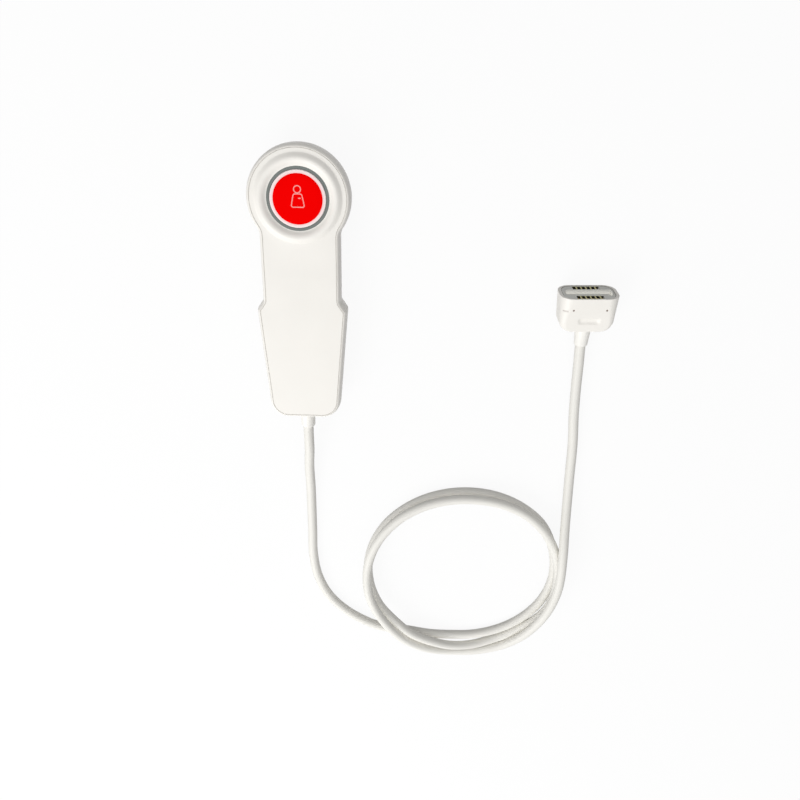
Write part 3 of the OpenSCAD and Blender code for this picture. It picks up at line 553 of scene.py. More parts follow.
def sectionPoints(topSteps=118, cornerSteps=22, sideSteps=8, bottomSteps=24):
    # Round the section: where each point stands between the corner centres, and which
    # way the corner turns there. Gives share along x, share along z, and the direction.
    def corner(sideX, sideZ, start):
        return gridOf(sideX, sideZ, *arc(start, start - 90, cornerSteps))

    def run(first, last, way, steps):
        share = np.linspace(0, 1, steps + 1)[1:-1]
        x, z = (low * (1 - share) + high * share for low, high in zip(first, last))
        return gridOf(x, z, *way)

    return np.concatenate((
        run((-1, 1), (1, 1), (0, 1), topSteps), corner(1, 1, 90),
        run((1, 1), (1, -1), (1, 0), sideSteps), corner(1, -1, 0),
        run((1, -1), (-1, -1), (0, -1), bottomSteps), corner(-1, -1, 270),
        run((-1, -1), (-1, 1), (-1, 0), sideSteps), corner(-1, 1, 180))).T


def plugOuter(y, plan):
    # Half width, half thickness and corner radius of the outside, y behind the face
    length, sideRound, endRound = pick(plan, "length roundLength endRound")
    pastSide, pastEnd = (np.maximum(0, -y - length + size) / size
                         for size in (sideRound, endRound))
    halfWidth = (plan["width"] / 2 - sideRound * roundIn(pastSide)
                 - plan["sideIn"] * np.minimum(1, -y / (length - sideRound)))
    halfThick = plan["thickness"] / 2 + y * slope - endRound * roundIn(pastEnd)
    return halfWidth, halfThick, plan["corner"] + y * plan["cornerShrink"]


def plugInner(y, plan):
    # The same sizes for the pocket: those of the outside less its rim
    return (plan["width"] / 2 - plan["rimX"] + 0 * y,
            plan["thickness"] / 2 - plan["rimZ"] + y * slope,
            plan["corner"] - plan["rimZ"] + y * plan["cornerShrink"])


def markDepth(x, y, marks):
    # How deep the finger scoop, the two dots and the dash go at a place on the upper side
    def within(half, away, edge):
        return np.clip((half - away) / edge + 0.5, 0, 1)

    scoop = marks["scoopDepth"] * np.maximum(
        0, 1 - ((y - marks["scoopY"]) / marks["scoopLength"] * 2) ** 2)
    fade = np.clip((marks["scoopWidth"] / 2 - abs(x - marks["scoopX"])) / marks["scoopFade"],
                   0, 1)
    away = np.hypot(abs(x - marks["dotMid"]) - marks["dotX"], y - marks["dotY"])
    dots = within(marks["dotRadius"], away, marks["softEdge"])
    dash = (within(marks["dashWidth"] / 2, abs(x - marks["dashX"]), marks["softEnd"])
            * within(marks["dashLength"] / 2, abs(y - marks["dashY"]), marks["softEdge"]))
    return (scoop * fade ** 2 * (3 - 2 * fade) + marks["dotDepth"] * dots
            + marks["dashDepth"] * dash)


def plugShellGrid(plan, marks):
    # Rows of the rounded section behind the face: share times (half size - corner radius),
    # plus the radius times the corner's direction. Also gives how strong the painted shade
    # of the fine line inside the rim is at each point.
    shareX, shareZ, wayX, wayZ = sectionPoints()

    def rows(y, sizes):
        halfWidth, halfThick, corner = (np.broadcast_to(size, y.shape)[:, None]
                                        for size in sizes)
        return gridOf(shareX * (halfWidth - corner) + corner * wayX, y[:, None],
                      shareZ * (halfThick - corner) + corner * wayZ)

    length, sideRound, end, lip, pocket = pick(plan, "length roundLength endRound lip pocket")
    bodyLength = length - sideRound
    inside = np.array((-pocket, -pocket * 0.6, -pocket * 0.3, -1.0, -0.2))
    step = np.array((-plan["stepDepth"], 0))
    cosines, sines = arc(0, 90, 4)
    lipY, lipIn = lip * (sines - 1), lip * (1 - cosines)
    roundPart = bodyLength + (sideRound - end) * arc(0, 90, 24)[1][1:-1]
    endPart = length - end * (1 - arc(0, 90, 12)[1])
    middleStart, middleStep = plan["middleRows"]
    outside = -np.concatenate((
        np.arange(*plan["frontRows"]), np.arange(*plan["markRows"]),
        np.arange(middleStart, bodyLength, middleStep), [bodyLength], roundPart, endPart))
    skin = np.concatenate((
        rows(inside, plugInner(inside, plan)),
        rows(step, [size + plan["stepIn"] for size in plugInner(0 * step, plan)]),
        rows(lipY[::-1], [size - lipIn[::-1] for size in plugOuter(0 * lipY, plan)]),
        rows(outside, plugOuter(outside, plan))))
    onTop = skin[:, :, 2] > 0
    outer = np.arange(len(skin))[:, None] >= len(skin) - len(outside)
    depth = np.where(onTop & outer, markDepth(skin[:, :, 0], skin[:, :, 1], marks), 0)
    skin[:, :, 0] -= depth * wayX
    skin[:, :, 2] -= depth * wayZ
    bearing = np.arctan2(skin[-1, :, 2], skin[-1, :, 0])
    holeR = cordPlan["diameter"] / 2
    ends = [gridOf(holeR * np.cos(bearing), -y, holeR * np.sin(bearing))
            for y in (length, (length + pocket) / 2, pocket)]
    grid = np.concatenate((skin, ends))
    line = np.zeros_like(grid)
    # Painted shade along the fine line inside the rim
    line[:len(inside) + 1, :, 0] = marks["rimPaintedShade"]
    return grid, line


def plugCoords(tree):
    # Where a point lies in the plug's own frame
    local = addNode(tree, "ShaderNodeMapping", {"vector_type": "TEXTURE"},
                    Vector=objectCoords(tree), Location=plugFace * mm,
                    Rotation=(radians(plugPlan["taper"]), 0, radians(plugPlan["turn"])))
    return local["Vector"].axes()


def paintedMarkShade(tree):
    # Painted shade at the bottom of the dots and the dash, laid over the painted line shade
    def fade(value, shade):
        low, high = plugMarks[shade]
        return value.spread(low * mm, high * mm, 1, 0)

    x, y, z = plugCoords(tree)
    fromDot = abs(x - plugMarks["dotMid"] * mm) - plugMarks["dotX"] * mm
    away = distance(fromDot, y - plugMarks["dotY"] * mm)
    dash = (fade(abs(x - plugMarks["dashX"] * mm), "dashEndShade")
            * fade(abs(y - plugMarks["dashY"] * mm), "dashSideShade"))
    mask = fade(away, "dotShade").orMore(dash * plugMarks["dashShare"]) * (z > 3 * mm)
    return mask.mixed(paintedLineShade(tree), screenColour(*plugMarks["colour"]))


plugGrid, rimShadeLayer = plugShellGrid(plugPlan, plugMarks)
plugShell = makePiece("plugShell", [toPlug(plugGrid)],
                      plasticFinish("plugPlastic", shellLook, colour=paintedMarkShade),
                      ["plug_shell"], closeRows=True, vectors={"line": [rimShadeLayer]})


# Key bar: a long round-nosed bar whose right end turns up

keyPlan = {
    # (middle x, middle z, half width, half height) of the bar and of its hook
    "bars": [(0, 0, 12.1, 1.5), (11.55, 1.5, 0.55, 2.0)],
    "back": 7.9, "neck": 2.0, "proud": 1.3, "corner": 0.3,
}
keyLook = {
    "colour": (253, 251, 243), "roughness": 0.35, "grainScale": 3600, "relief": 0.004,
    "shine": 0.45, "dust": 0.02,
}


def keyGrids(plan):
    # Rounded rectangles carried from the back to the nose, where they shrink along a
    # quarter circle: inset = least half size times (1 - cosine), depth with the sine
    shareX, shareZ, wayX, wayZ = sectionPoints(24, 4, 4, 24)
    cosines, sines = arc(0, 90, 10)
    grids = []
    for middleX, middleZ, halfX, halfZ in plan["bars"]:
        least = min(halfX, halfZ)
        y = np.concatenate(([-plan["back"], -plan["back"], -plan["neck"]],
                            plan["proud"] - least * (1 - sines)))
        inset = np.concatenate(([least, 0, 0], least * (1 - cosines)))[:, None]
        corner = np.minimum(plan["corner"], least - inset)
        grids.append(toPlug(gridOf(
            middleX + shareX * (halfX - inset - corner) + corner * wayX, y[:, None],
            middleZ + shareZ * (halfZ - inset - corner) + corner * wayZ)))
    return grids


keyBar = makePiece("keyBar", keyGrids(keyPlan), plasticFinish("keyPlastic", keyLook),
                   ["plug_key"])


# Sleeves: turned profiles about the cord's line

sleeveLook = {
    "colour": (246, 244, 239), "roughness": 0.48, "grainScale": 2400, "relief": 0.006,
    "dust": 0.04, "shine": 0.35,
}
sleeveRubber = plasticFinish("sleeveRubber", sleeveLook)


def alongY(grid):
    # Turns an upright revolve so that its height runs along +Y
    return gridOf(grid[:, :, 0], grid[:, :, 2], -grid[:, :, 1])


def plugSleeveGrid(plan):
    # Turned profile: a small rounded end, then a straight cone up to the plug
    cordR = cordPlan["diameter"] / 2
    edge, length, endR, radius = pick(
        plan, "sleeveEdge sleeveLength sleeveEndRadius sleeveRadius")
    profile = [(cordR, 0), *roundedCorner((endR - edge, edge), edge, -90, 0),
               *((endR + (radius - endR) * share, edge + (length - edge) * share)
                 for share in np.linspace(0, 1, 9)[1:]), (cordR, length)]
    return toPlug(alongY(revolve(profile)) - (0, plan["length"] + length, 0))


plugSleeve = makePiece("plugSleeve", [plugSleeveGrid(plugPlan)], sleeveRubber,
                       ["plug_relief"], closeRows=True)

cordSleevePlan = {
    "radius": 4.0, "mouthY": -82.1, "flangeY": -68.094, "flangeRise": 1.6,
    "flangeWidth": 1.6, "edge": 0.9, "slopeLength": 1.4,
}


def cordSleeveGrid(plan):
    # Turned profile: a quarter ellipse at the mouth, a straight barrel, and a flange
    # held inside the shells
    cordR, radius = cordPlan["diameter"] / 2, plan["radius"]
    foot = plan["flangeY"] - plan["mouthY"]
    end, flangeR = foot + plan["flangeWidth"], radius + plan["flangeRise"]
    nose = [(radius - plan["edge"] * (1 - s), plan["slopeLength"] * (1 - c))
            for c, s in zip(*arc(0, 90, 8))]
    profile = [(cordR, 0), *nose, (radius, foot), (flangeR, foot), (flangeR, end),
               (cordR, end)]
    return alongY(revolve(profile)) + (0, plan["mouthY"], cordPlan["exit"][2])


cordSleeve = makePiece("cordSleeve", [cordSleeveGrid(cordSleevePlan)], sleeveRubber,
                       ["handset_relief"], closeRows=True)

print("cord and plug ready")


# Handset outline: points and outward directions, clockwise from the top of the head

handsetPlan = {
    "length": 145.5, "thickness": 22.0, "headDiameter": 52.0, "neckWidth": 40.8,
    "shoulderWidth": 47.6, "tailWidth": 37.6, "gripLength": 62.4, "stepLength": 4.9,
    "neckFillet": 8.0, "innerCorner": 3.0, "shoulderRadius": 2.6, "tailCorner": 10.5,
    "wall": 2.2, "joint": 12.0, "reveal": 0.3, "ceiling": 19.4,
    "leanIn": 0.2, "leanPower": 1.5, "edgeIn": 1.8, "edgeDrop": 3.2,
    "backIn": 5.4, "backEdge": 0.8, "waist": 16.0, "bellyPower": 2.2,
    "gasketLip": 0.4, "gasketWidth": 0.6, "gasketDepth": 0.5,
    # Fine line round the face: a groove, with painted shade at its bottom
    "creaseIn": 1.7, "creaseWidth": 0.55, "creaseDepth": 0.35, "creasePaintedShade": 0.4,
    # Heights of rings: outside above the joint, and inside the front and the rear shell
    "bandRings": (15, 14, 13.2, 12.6), "frontInside": (13, 14.5, 16, 17.5, 18.8),
    "rearInside": (4, 11.2, 8),  # lowest, highest and how many
    # Where inner walls round into the ceiling and the floor: (distance from it, inwards)
    "ceilingRound": [(0.1, 0.1), (0, 0.3)], "floorRound": [(0, 0.4), (0.12, 0.12), (0.4, 0)],
    "floorShare": (0.84, 0.94),  # size of the floor's own ring against the outline
    "frontFade": 18.4, "rearFade": 5.6,  # heights where the rings lie level again at the hole
}
headR = handsetPlan["headDiameter"] / 2
headY = handsetPlan["length"] / 2 - headR
tailY = -handsetPlan["length"] / 2
headCentre = (0, headY)


def toRight(way):
    # A quarter turn clockwise: (x, y) becomes (y, -x)
    return gridOf(way[..., 1], -way[..., 0])


def roundBend(first, second, radius, steps):
    # Arc between two lines, each a point and a unit direction. Points and travel directions.
    (p, u), (q, v) = first, second
    cross = u[0] * v[1] - u[1] * v[0]
    turn = atan2(cross, u @ v)
    gap = q - p
    meet = p + u * ((gap[0] * v[1] - gap[1] * v[0]) / cross)
    bend = radius if turn < 0 else -radius
    start = meet - u * abs(bend * tan(turn / 2))
    centre = start + toRight(u) * bend
    angle = atan2(u[1], u[0]) + turn * np.linspace(0, 1, steps + 1)
    travel = gridOf(np.cos(angle), np.sin(angle))
    return centre - toRight(travel) * bend, travel


def lineBetween(start, end, steps):
    # Inner points of a straight run and their travel direction
    share = np.linspace(0, 1, steps + 1)[1:-1, None]
    way = (end - start) / lengths(end - start)
    return start + (end - start) * share, np.broadcast_to(way, (steps - 1, 2))


def handsetOutline(plan, holeR):
    # Head, fillet, then straight runs and bends down one side to the cord hole, mirrored
    shoulderY = tailY + plan["gripLength"]
    neckX, fillet = plan["neckWidth"] / 2, plan["neckFillet"]
    corners = np.array(((neckX, headY), (neckX, shoulderY + plan["stepLength"]),
                        (plan["shoulderWidth"] / 2, shoulderY),
                        (plan["tailWidth"] / 2, tailY), (0, tailY)))
    ways = np.diff(corners, axis=0)
    lines = list(zip(corners, ways / lengths(ways)))
    filletX = neckX + fillet
    filletY = headY - sqrt((headR + fillet) ** 2 - filletX ** 2)
    meeting = degrees(atan2(filletY - headY, filletX))
    headWay = gridOf(*arc(90, meeting, 120))
    filletWay = gridOf(*arc(180 + meeting, 180, 12))[1:]
    pieces = [(headCentre + headWay * headR, toRight(headWay)),
              ((filletX, filletY) + filletWay * fillet, -toRight(filletWay))]
    for i, (radius, runSteps, bendSteps) in enumerate((
            ("innerCorner", 10, 8), ("shoulderRadius", 3, 10), ("tailCorner", 20, 28))):
        bend = roundBend(lines[i], lines[i + 1], plan[radius], bendSteps)
        pieces += [lineBetween(pieces[-1][0][-1], bend[0][0], runSteps), bend]
    hole = gridOf(holeR * arc(0, 90, 16)[0], tailY)
    pieces += [lineBetween(pieces[-1][0][-1], hole[0], 6),
               (hole, np.broadcast_to((-1.0, 0.0), hole.shape))]
    half, travel = (np.concatenate(parts) for parts in zip(*pieces))
    half[-1] = corners[-1]
    return [np.concatenate((side, side[-2:0:-1] * (-1, 1))) for side in (half, -toRight(travel))]


holeR = cordSleevePlan["radius"]
outline, outward = handsetOutline(handsetPlan, holeR)
atHole = (outline[:, 1] < tailY + 0.01) & (abs(outline[:, 0]) < holeR)
holeRise = np.where(atHole, np.sqrt(np.maximum(0, holeR ** 2 - outline[:, 0] ** 2)), 0)


def sideIn(z, plan):
    # How far the side is drawn in at a height: above the waist it leans in to a round front
    # edge, and below it a belly runs in towards the flat back. Both grow with a power of
    # the distance from the waist.
    drop, waist, backEdge = pick(plan, "edgeDrop waist backEdge")
    edgeLow = plan["thickness"] - drop
    lean = np.clip((z - waist) / (edgeLow - waist), 0, 1) ** plan["leanPower"]
    belly = (np.maximum(waist - z, 0) / waist) ** plan["bellyPower"]
    return (plan["leanIn"] * lean + plan["backIn"] * belly
            + plan["edgeIn"] * roundIn(np.clip((z - edgeLow) / drop, 0, 1))
            + backEdge * roundIn(np.clip(1 - z / backEdge, 0, 1)))


def shellWall(rows, way, fadeEnd, plan):
    # A ring of the outline for each row's height and extra, drawn in by the side's curve
    # and that extra. Round the cord hole the rings rise, or sink for way -1, to clear it.
    heights, extra = np.array(rows).T[:, :, None]
    fade = np.clip((fadeEnd - heights) / (fadeEnd - plan["joint"] - way * plan["reveal"]), 0, 1)
    z = heights + way * fade * holeRise
    drawn = sideIn(np.clip(z, 0, plan["thickness"]), plan) + extra
    return gridOf(outline[:, 0] - drawn * outward[:, 0],
                  outline[:, 1] - drawn * outward[:, 1], z)


def rimRows(plan, way):
    # Section of the joint from the outside in: reveal, lip, gasket groove and lip. The
    # groove goes up into the front shell, or down into the rear one for way -1.
    joint, reveal, lip, width, depth = pick(
        plan, "joint reveal gasketLip gasketWidth gasketDepth")
    groove, lipEnd, grooveEnd = joint + way * depth, reveal + lip, reveal + lip + width
    return [(joint, reveal), (joint, lipEnd), (groove, lipEnd), (groove, grooveEnd),
            (joint, grooveEnd), (joint, plan["wall"])]


guardPlan = {
    "radius": 19.0, "width": 6.2, "height": 1.5, "bezelRadius": 15.5, "ledge": 19.2,
    "wellRadius": 14.6, "skirtRadius": 16.6, "skirtEnd": 11.5, "edge": 0.12, "steps": 192,
    "outerPowers": (2, 1.6), "innerPowers": (2.2, 1.25),  # form of the arch's two sides
}


def guardProfile(plan, top, ceiling):
    # Over the guard ring from its outer foot, across the seat of the button and down the
    # well. The ring is an arch, gentle at its outer foot and steep at its inner one.
    share = np.linspace(1, 0, 49)
    outer, inner = ((1 - abs(2 * share - 1) ** first) ** second
                    for first, second in (plan["outerPowers"], plan["innerPowers"]))
    height = plan["height"] * np.where(share > 0.5, outer, inner)
    arch = zip(plan["radius"] + (share - 0.5) * plan["width"], top + height)
    edge, bezelR, ledge, wellR, skirtR, skirtEnd = pick(
        plan, "edge bezelRadius ledge wellRadius skirtRadius skirtEnd")
    return [*arch, (bezelR + edge, top), (bezelR, top - edge), (bezelR, ledge),
            (wellR, ledge), (wellR, skirtEnd), (skirtR, skirtEnd), (skirtR, ceiling)]


postPlan = {
    # (x, y) of the posts on one side, then radius, lower end, bore radius, top of the bore
    "screwPosts": ([(10.5, 22.15), (10.6, -50.25)], (2.9, 12.0, 1.4, 18.9)),
    "boardPosts": ([(11.1, 8.75), (11.1, -15.85)], (2.6, 11.5, 0.9, 16.8)),
    "clampPosts": ([(7.5, -58.25)], (2.6, 9.9, 1.1, 14.4)),
}


def bothSides(places):
    # Each place on the right, and its mirror image on the left
    return [(side * x, y) for side in (-1, 1) for x, y in places]


def frontPosts(plan, ceiling):
    # Hollow posts that hang from the ceiling, each open at its lower end
    posts = []
    for places, (radius, foot, bore, boreTop) in plan.values():
        profile = [(radius, ceiling), (radius, foot), (bore, foot), (bore, boreTop), (0, boreTop)]
        posts += [revolve(profile, place, 40) for place in bothSides(places)]
    return posts


def frontShellGrids(plan):
    # Rings of the outline from the crease over the round edge, down the side, through the
    # joint and up inside to the ceiling. Then the turned seat of the button, and posts.
    top, drop, wall, ceiling = pick(plan, "thickness edgeDrop wall ceiling")
    creaseIn, width, depth = pick(plan, "creaseIn creaseWidth creaseDepth")
    # The face ends at the crease, and the round edge starts behind it
    fromTop = 1 - (creaseIn - plan["leanIn"]) / plan["edgeIn"]
    edge = [(top - drop + drop * s, 0) for s in arc(degrees(acos(fromTop)), 0, 12)[1]]
    crease = [(z, creaseIn + across - sideIn(z, plan))
              for z, across in ((top, width), (top - depth, width / 2))]
    lean = np.linspace(top - drop, plan["waist"], 12)[1:]
    band = [(z, 0) for z in (*lean, *plan["bandRings"], plan["joint"] + plan["reveal"])]
    inside = ([(z, wall) for z in plan["frontInside"]]
              + [(ceiling - down, wall + inwards) for down, inwards in plan["ceilingRound"]])
    rows = crease + edge + band + rimRows(plan, 1) + inside
    seat = revolve(guardProfile(guardPlan, top, ceiling), headCentre, guardPlan["steps"])
    return [shellWall(rows, 1, plan["frontFade"], plan), seat, *frontPosts(postPlan, ceiling)]


frontGrids = frontShellGrids(handsetPlan)
# Painted shade at the bottom of the crease, carried by the line attribute
creaseShadeLayer = [np.zeros_like(grid) for grid in frontGrids]
creaseShadeLayer[0][1, :, 0] = handsetPlan["creasePaintedShade"]  # the bottom of the crease
makePiece("frontShell", frontGrids, shellPlastic, ["front_shell"],
          vectors={"line": creaseShadeLayer},
          flatLevels=(handsetPlan["thickness"], handsetPlan["ceiling"]))

recessPlan = {
    "radius": 3.0, "depth": 5.0, "edge": 0.15, "bore": 1.5, "post": 2.9, "tower": 4.2,
    "towerTop": 6.8,
}


def rearShellGrids(plan, recess):
    # Rings of the outline from the inner floor up to the joint and down the belly to the
    # flat back. Then the screws' recesses, each turned with its tower.
    joint, wall, edge = pick(plan, "joint wall backEdge")
    inside = [(wall + up, wall + inwards) for up, inwards in plan["floorRound"]]
    inside += [(z, wall) for z in np.linspace(*plan["rearInside"])]
    belly = [(z, 0) for z in np.linspace(joint - plan["reveal"], edge, 26)]
    foot = [(edge * (1 - s), 0) for s in arc(0, 90, 8)[1][1:]]
    rows = inside + rimRows(plan, -1)[::-1] + belly + foot
    floorEdge = gridOf(*(outline * plan["floorShare"]).T, wall)
    skin = np.concatenate(([floorEdge], shellWall(rows, -1, plan["rearFade"], plan)))
    radius, depth, cut, bore, post, tower, towerTop = pick(
        recess, "radius depth edge bore post tower towerTop")
    profile = [(radius + cut, 0), (radius, cut), (radius, depth), (bore, depth),
               (bore, joint), (post, joint), (post, towerTop), (tower, towerTop),
               (tower, wall)]
    return [skin] + [revolve(profile, place) for place in bothSides(postPlan["screwPosts"][0])]


makePiece("rearShell", rearShellGrids(handsetPlan, recessPlan), shellPlastic,
          ["rear_shell"], flatLevels=(0, handsetPlan["wall"]))
print("handset shells ready")


# Button: bezel ring, cap, label and the printed call symbol

bezelPlan = {"inner": 14.05, "outer": 15.5, "low": 19.2, "top": 22.0, "edge": 0.3}
bezelLook = {
    "colour": (118, 124, 121), "roughness": 0.55, "grainScale": 3500, "relief": 0.008,
    "dust": 0.06, "shine": 0.3,
}


def bezelGrid(plan):
    # A turned rectangle with both upper corners rounded
    inner, outer, low, top, edge = pick(plan, "inner outer low top edge")
    return revolve([(inner, low), (outer, low),
                    *roundedCorner((outer - edge, top - edge), edge, 0, 90),
                    *roundedCorner((inner + edge, top - edge), edge, 90, 180)], headCentre, 192)


makePiece("bezelRing", [bezelGrid(bezelPlan)], plasticFinish("bezelPlastic", bezelLook),
          ["bezel_ring"], closeRows=True)

capPlan = {
    "radius": 13.9, "top": 22.5, "edge": 0.4, "flangeRadius": 14.4, "flangeTop": 19.1,
    "flangeLow": 17.8, "boreRadius": 12.2, "roof": 20.7, "postRadius": 2.6, "postEnd": 17.0,
    "labelRadius": 12.25, "labelThick": 0.4, "labelGap": 0.03, "labelEdge": 0.08,
    "seatEdge": 0.05,
}
capLook = {
    "colour": (252, 238, 236), "roughness": 0.3, "grainScale": 3500, "relief": 0.003,
    "dust": 0.02, "shine": 0.45,
    # painted red light from the label, and how far from the button's axis it fades
    "glow": (255, 214, 214), "glowReach": (12.2, 13.5),  # mm from the button's axis
}


def capGrid(plan):
    # Over the label's seat and the round edge, down the skirt and up to the inner post
    radius, top, edge, seatR, seatEdge, deep = pick(
        plan, "radius top edge labelRadius seatEdge labelThick")
    flangeR, flangeTop, flangeLow, boreR, roof, postR, postEnd = pick(
        plan, "flangeRadius flangeTop flangeLow boreRadius roof postRadius postEnd")
    return revolve([(0, top - deep), (seatR, top - deep), (seatR, top - seatEdge),
                    (seatR + seatEdge, top),
                    *roundedCorner((radius - edge, top - edge), edge, 90, 0),
                    (radius, flangeTop), (flangeR, flangeTop), (flangeR, flangeLow),
                    (boreR, flangeLow), (boreR, roof), (postR, roof), (postR, postEnd),
                    (0, postEnd)], headCentre, 192)


def capPaintedRedGlow(tree):
    # Painted red light from the label: the clear plastic is tinted towards its red beside it
    x, y = objectCoords(tree).axes()[:2]
    low, high = capLook["glowReach"]
    near = distance(x, y - headY * mm).spread(low * mm, high * mm, 1, 0)
    return near.mixed(screenColour(*capLook["colour"]), screenColour(*capLook["glow"]))


makePiece("buttonCap", [capGrid(capPlan)], plasticFinish("capPlastic", capLook, colour=capPaintedRedGlow),
          ["button_cap"], body="button")

labelLook = {
    "colour": (250, 2, 2), "roughness": 0.5, "grainScale": 3000, "relief": 0.003,
    "shadeShift": 0.01, "dust": 0.0, "shine": 0.0, "smear": 0.03,
}


def labelGrid(plan):
    # A turned disc with a rounded upper edge
    radius, top, edge = plan["labelRadius"] - plan["labelGap"], plan["top"], plan["labelEdge"]
    low = top - plan["labelThick"]
    return revolve([(0, low), (radius, low),
                    *roundedCorner((radius - edge, top - edge), edge, 0, 90, 4),
                    *((radius * share, top) for share in (0.8, 0.4, 0))], headCentre, 192)


makePiece("buttonLabel", [labelGrid(capPlan)], plasticFinish("labelFilm", labelLook),
          ["button_label"], body="button")

symbolPlan = {
    "headX": -0.1, "headRise": 4.7, "headRadius": 1.7,
    "bodyTop": 2.5, "bodyLow": -3.85, "topHalf": 2.05, "lowHalf": 3.35,
    "topCorner": 1.1, "lowCorner": 0.9,
    "dashX": 0.9, "dashRise": 0.45, "dashLength": 1.4,
    "line": 0.5, "height": 0.05,
}
symbolLook = {
    "colour": (253, 165, 160), "roughness": 0.55, "grainScale": 5000, "relief": 0.003,
    "dust": 0.01, "shine": 0.2,
}


def printedLine(path, taper, base, plan):
    # A low rounded section carried along a closed path, or one that tapers at both ends
    ways = np.roll(path, -1, axis=0) - np.roll(path, 1, axis=0)
    if taper is None:
        taper = np.ones(len(path))
    else:
        ways[0], ways[-1] = path[1] - path[0], path[-1] - path[-2]
    across = toRight(ways / lengths(ways))
    cosines, sines = fullTurn(16)
    wide = taper[:, None] * plan["line"] / 2 * cosines
    tall = taper[:, None] * plan["height"] * np.maximum(sines, 0)
    return gridOf(path[:, :1] + across[:, :1] * wide, path[:, 1:] + across[:, 1:] * wide,
                  base + tall)


def symbolPaths(plan):
    # Head and body are closed lines. The dash is open and thins out at both ends.
    ring = (plan["headX"], headY + plan["headRise"]) + plan["headRadius"] * gridOf(*fullTurn(72))
    topX, topY, lowX, lowY = pick(plan, "topHalf bodyTop lowHalf bodyLow")
    corners = headCentre + np.array(((topX, topY), (lowX, lowY), (-lowX, lowY), (-topX, topY)))
    ways = np.roll(corners, -1, axis=0) - corners
    lines = list(zip(corners, ways / lengths(ways)))
    radii = pick(plan, "lowCorner lowCorner topCorner topCorner")
    bends = [roundBend(lines[i], lines[(i + 1) % 4], radii[i], 12)[0] for i in range(4)]
    runs = [lineBetween(bends[i][-1], bends[(i + 1) % 4][0], 8)[0] for i in range(4)]
    coat = np.concatenate([part for pair in zip(bends, runs) for part in pair])
    along = np.linspace(-1, 1, 25)
    half = plan["dashLength"] / 2
    dash = gridOf(plan["dashX"] + half * along, headY + plan["dashRise"])
    near = np.clip((1 - abs(along)) * half / (plan["line"] / 2), 0, 1)
    return {"symbolHead": (ring, None), "symbolBody": (coat, None),
            "symbolDash": (dash, np.sqrt(1 - (1 - near) ** 2))}


symbolInk = plasticFinish("symbolInk", symbolLook)
for name, (path, taper) in symbolPaths(symbolPlan).items():
    makePiece(name, [printedLine(path, taper, capPlan["top"], symbolPlan)], symbolInk,
              body="button", closeRows=taper is None, sharpAngle=60)
print("button ready")


# Plug insert with painted shade in its cells and gilt walls between them

insertPlan = {"front": 0.36, "rowZ": 6.1, "cellHalf": 1.81, "rowHalf": 7.2}
insertLook = {
    "colour": (226, 226, 221), "roughness": 0.55, "grainScale": 3200, "relief": 0.006,
    # the cell colour is painted shade inside the cells
    "shine": 0.3, "gilt": (214, 204, 120), "giltShare": 0.75, "cell": (22, 20, 10),
}


def insertTintAndCellShade(tree):
    # Painted shade: dark inside the cells, which lie in two rows. The walls between them are part
    # gilt.
    x, y, z = plugCoords(tree)
    inRow = ((abs(abs(z) - insertPlan["rowZ"] * mm) < insertPlan["cellHalf"] * mm)
             * (abs(x) < insertPlan["rowHalf"] * mm))
    inside = y < -insertPlan["front"] * mm
    grey, gilt, dark = (screenColour(*insertLook[key]) for key in ("colour", "gilt", "cell"))
    walls = (inRow * insertLook["giltShare"]).mixed(grey, gilt)
    return (inside * inRow).mixed(walls, dark)


dress(plasticFinish("insertPlastic", insertLook, colour=insertTintAndCellShade), "plug_insert")
dress(plasticFinish("premouldPlastic", {**insertLook, "colour": (205, 205, 200)}),
      "plug_premould")


# Metal pieces, and plastic and rubber pieces inside the handset

metalLooks = {
    # Colour, roughness, stretch of the lines, their scale, relief, and the nodes
    "contactGold": ((226, 190, 92), 0.24, (1, 0.1, 1), 4000, 0.001,
                    ["contacts_upper", "contacts_lower"]),
    "screwSteel": ((188, 190, 194), 0.3, (1, 1, 0.15), 3000, 0.002,
                   ["shell_screws", "board_screws", "clamp_screws"]),
    "springWire": ((178, 180, 184), 0.22, (0.4, 0.4, 1), 3500, 0.002, ["return_spring"]),
}
innerLooks = {
    # Colour, roughness, grain scale, relief, and the nodes
    "gasketRubber": ((140, 142, 142), 0.75, 2500, 0.01, ["shell_gasket"]),
    "chipEpoxy": ((32, 32, 35), 0.6, 5000, 0.01, ["board_chips"]),
    "lampLens": ((250, 242, 205), 0.25, 6000, 0.002, ["leds"]),
    "switchPlastic": ((36, 36, 39), 0.5, 3500, 0.006, ["switch_base"]),
    "plungerPlastic": ((220, 217, 204), 0.4, 3500, 0.004, ["switch_plunger"]),
    "headerPlastic": ((238, 230, 210), 0.45, 3500, 0.004, ["wire_header", "lead_plug"]),
    "clampPlastic": ((76, 79, 82), 0.6, 3000, 0.01, ["cord_clamp"]),
}
for name, (*look, nodes) in metalLooks.items():
    dress(metalFinish(name, *look), *nodes)
for name, (*look, nodes) in innerLooks.items():
    look = dict(zip(("colour", "roughness", "grainScale", "relief"), look))
    dress(plasticFinish(name, look), *nodes)
dress(plasticFinish("jacketEnds", jacketLook), "jacket_tail", "plug_jacket")

leadLook = {
    "roughness": 0.4, "grainScale": 3000, "relief": 0.004, "halfSpan": 6,
    "colours": [(112, 70, 40), (30, 30, 32), (232, 230, 222), (40, 120, 60),
                (226, 196, 50), (186, 36, 30)],
}


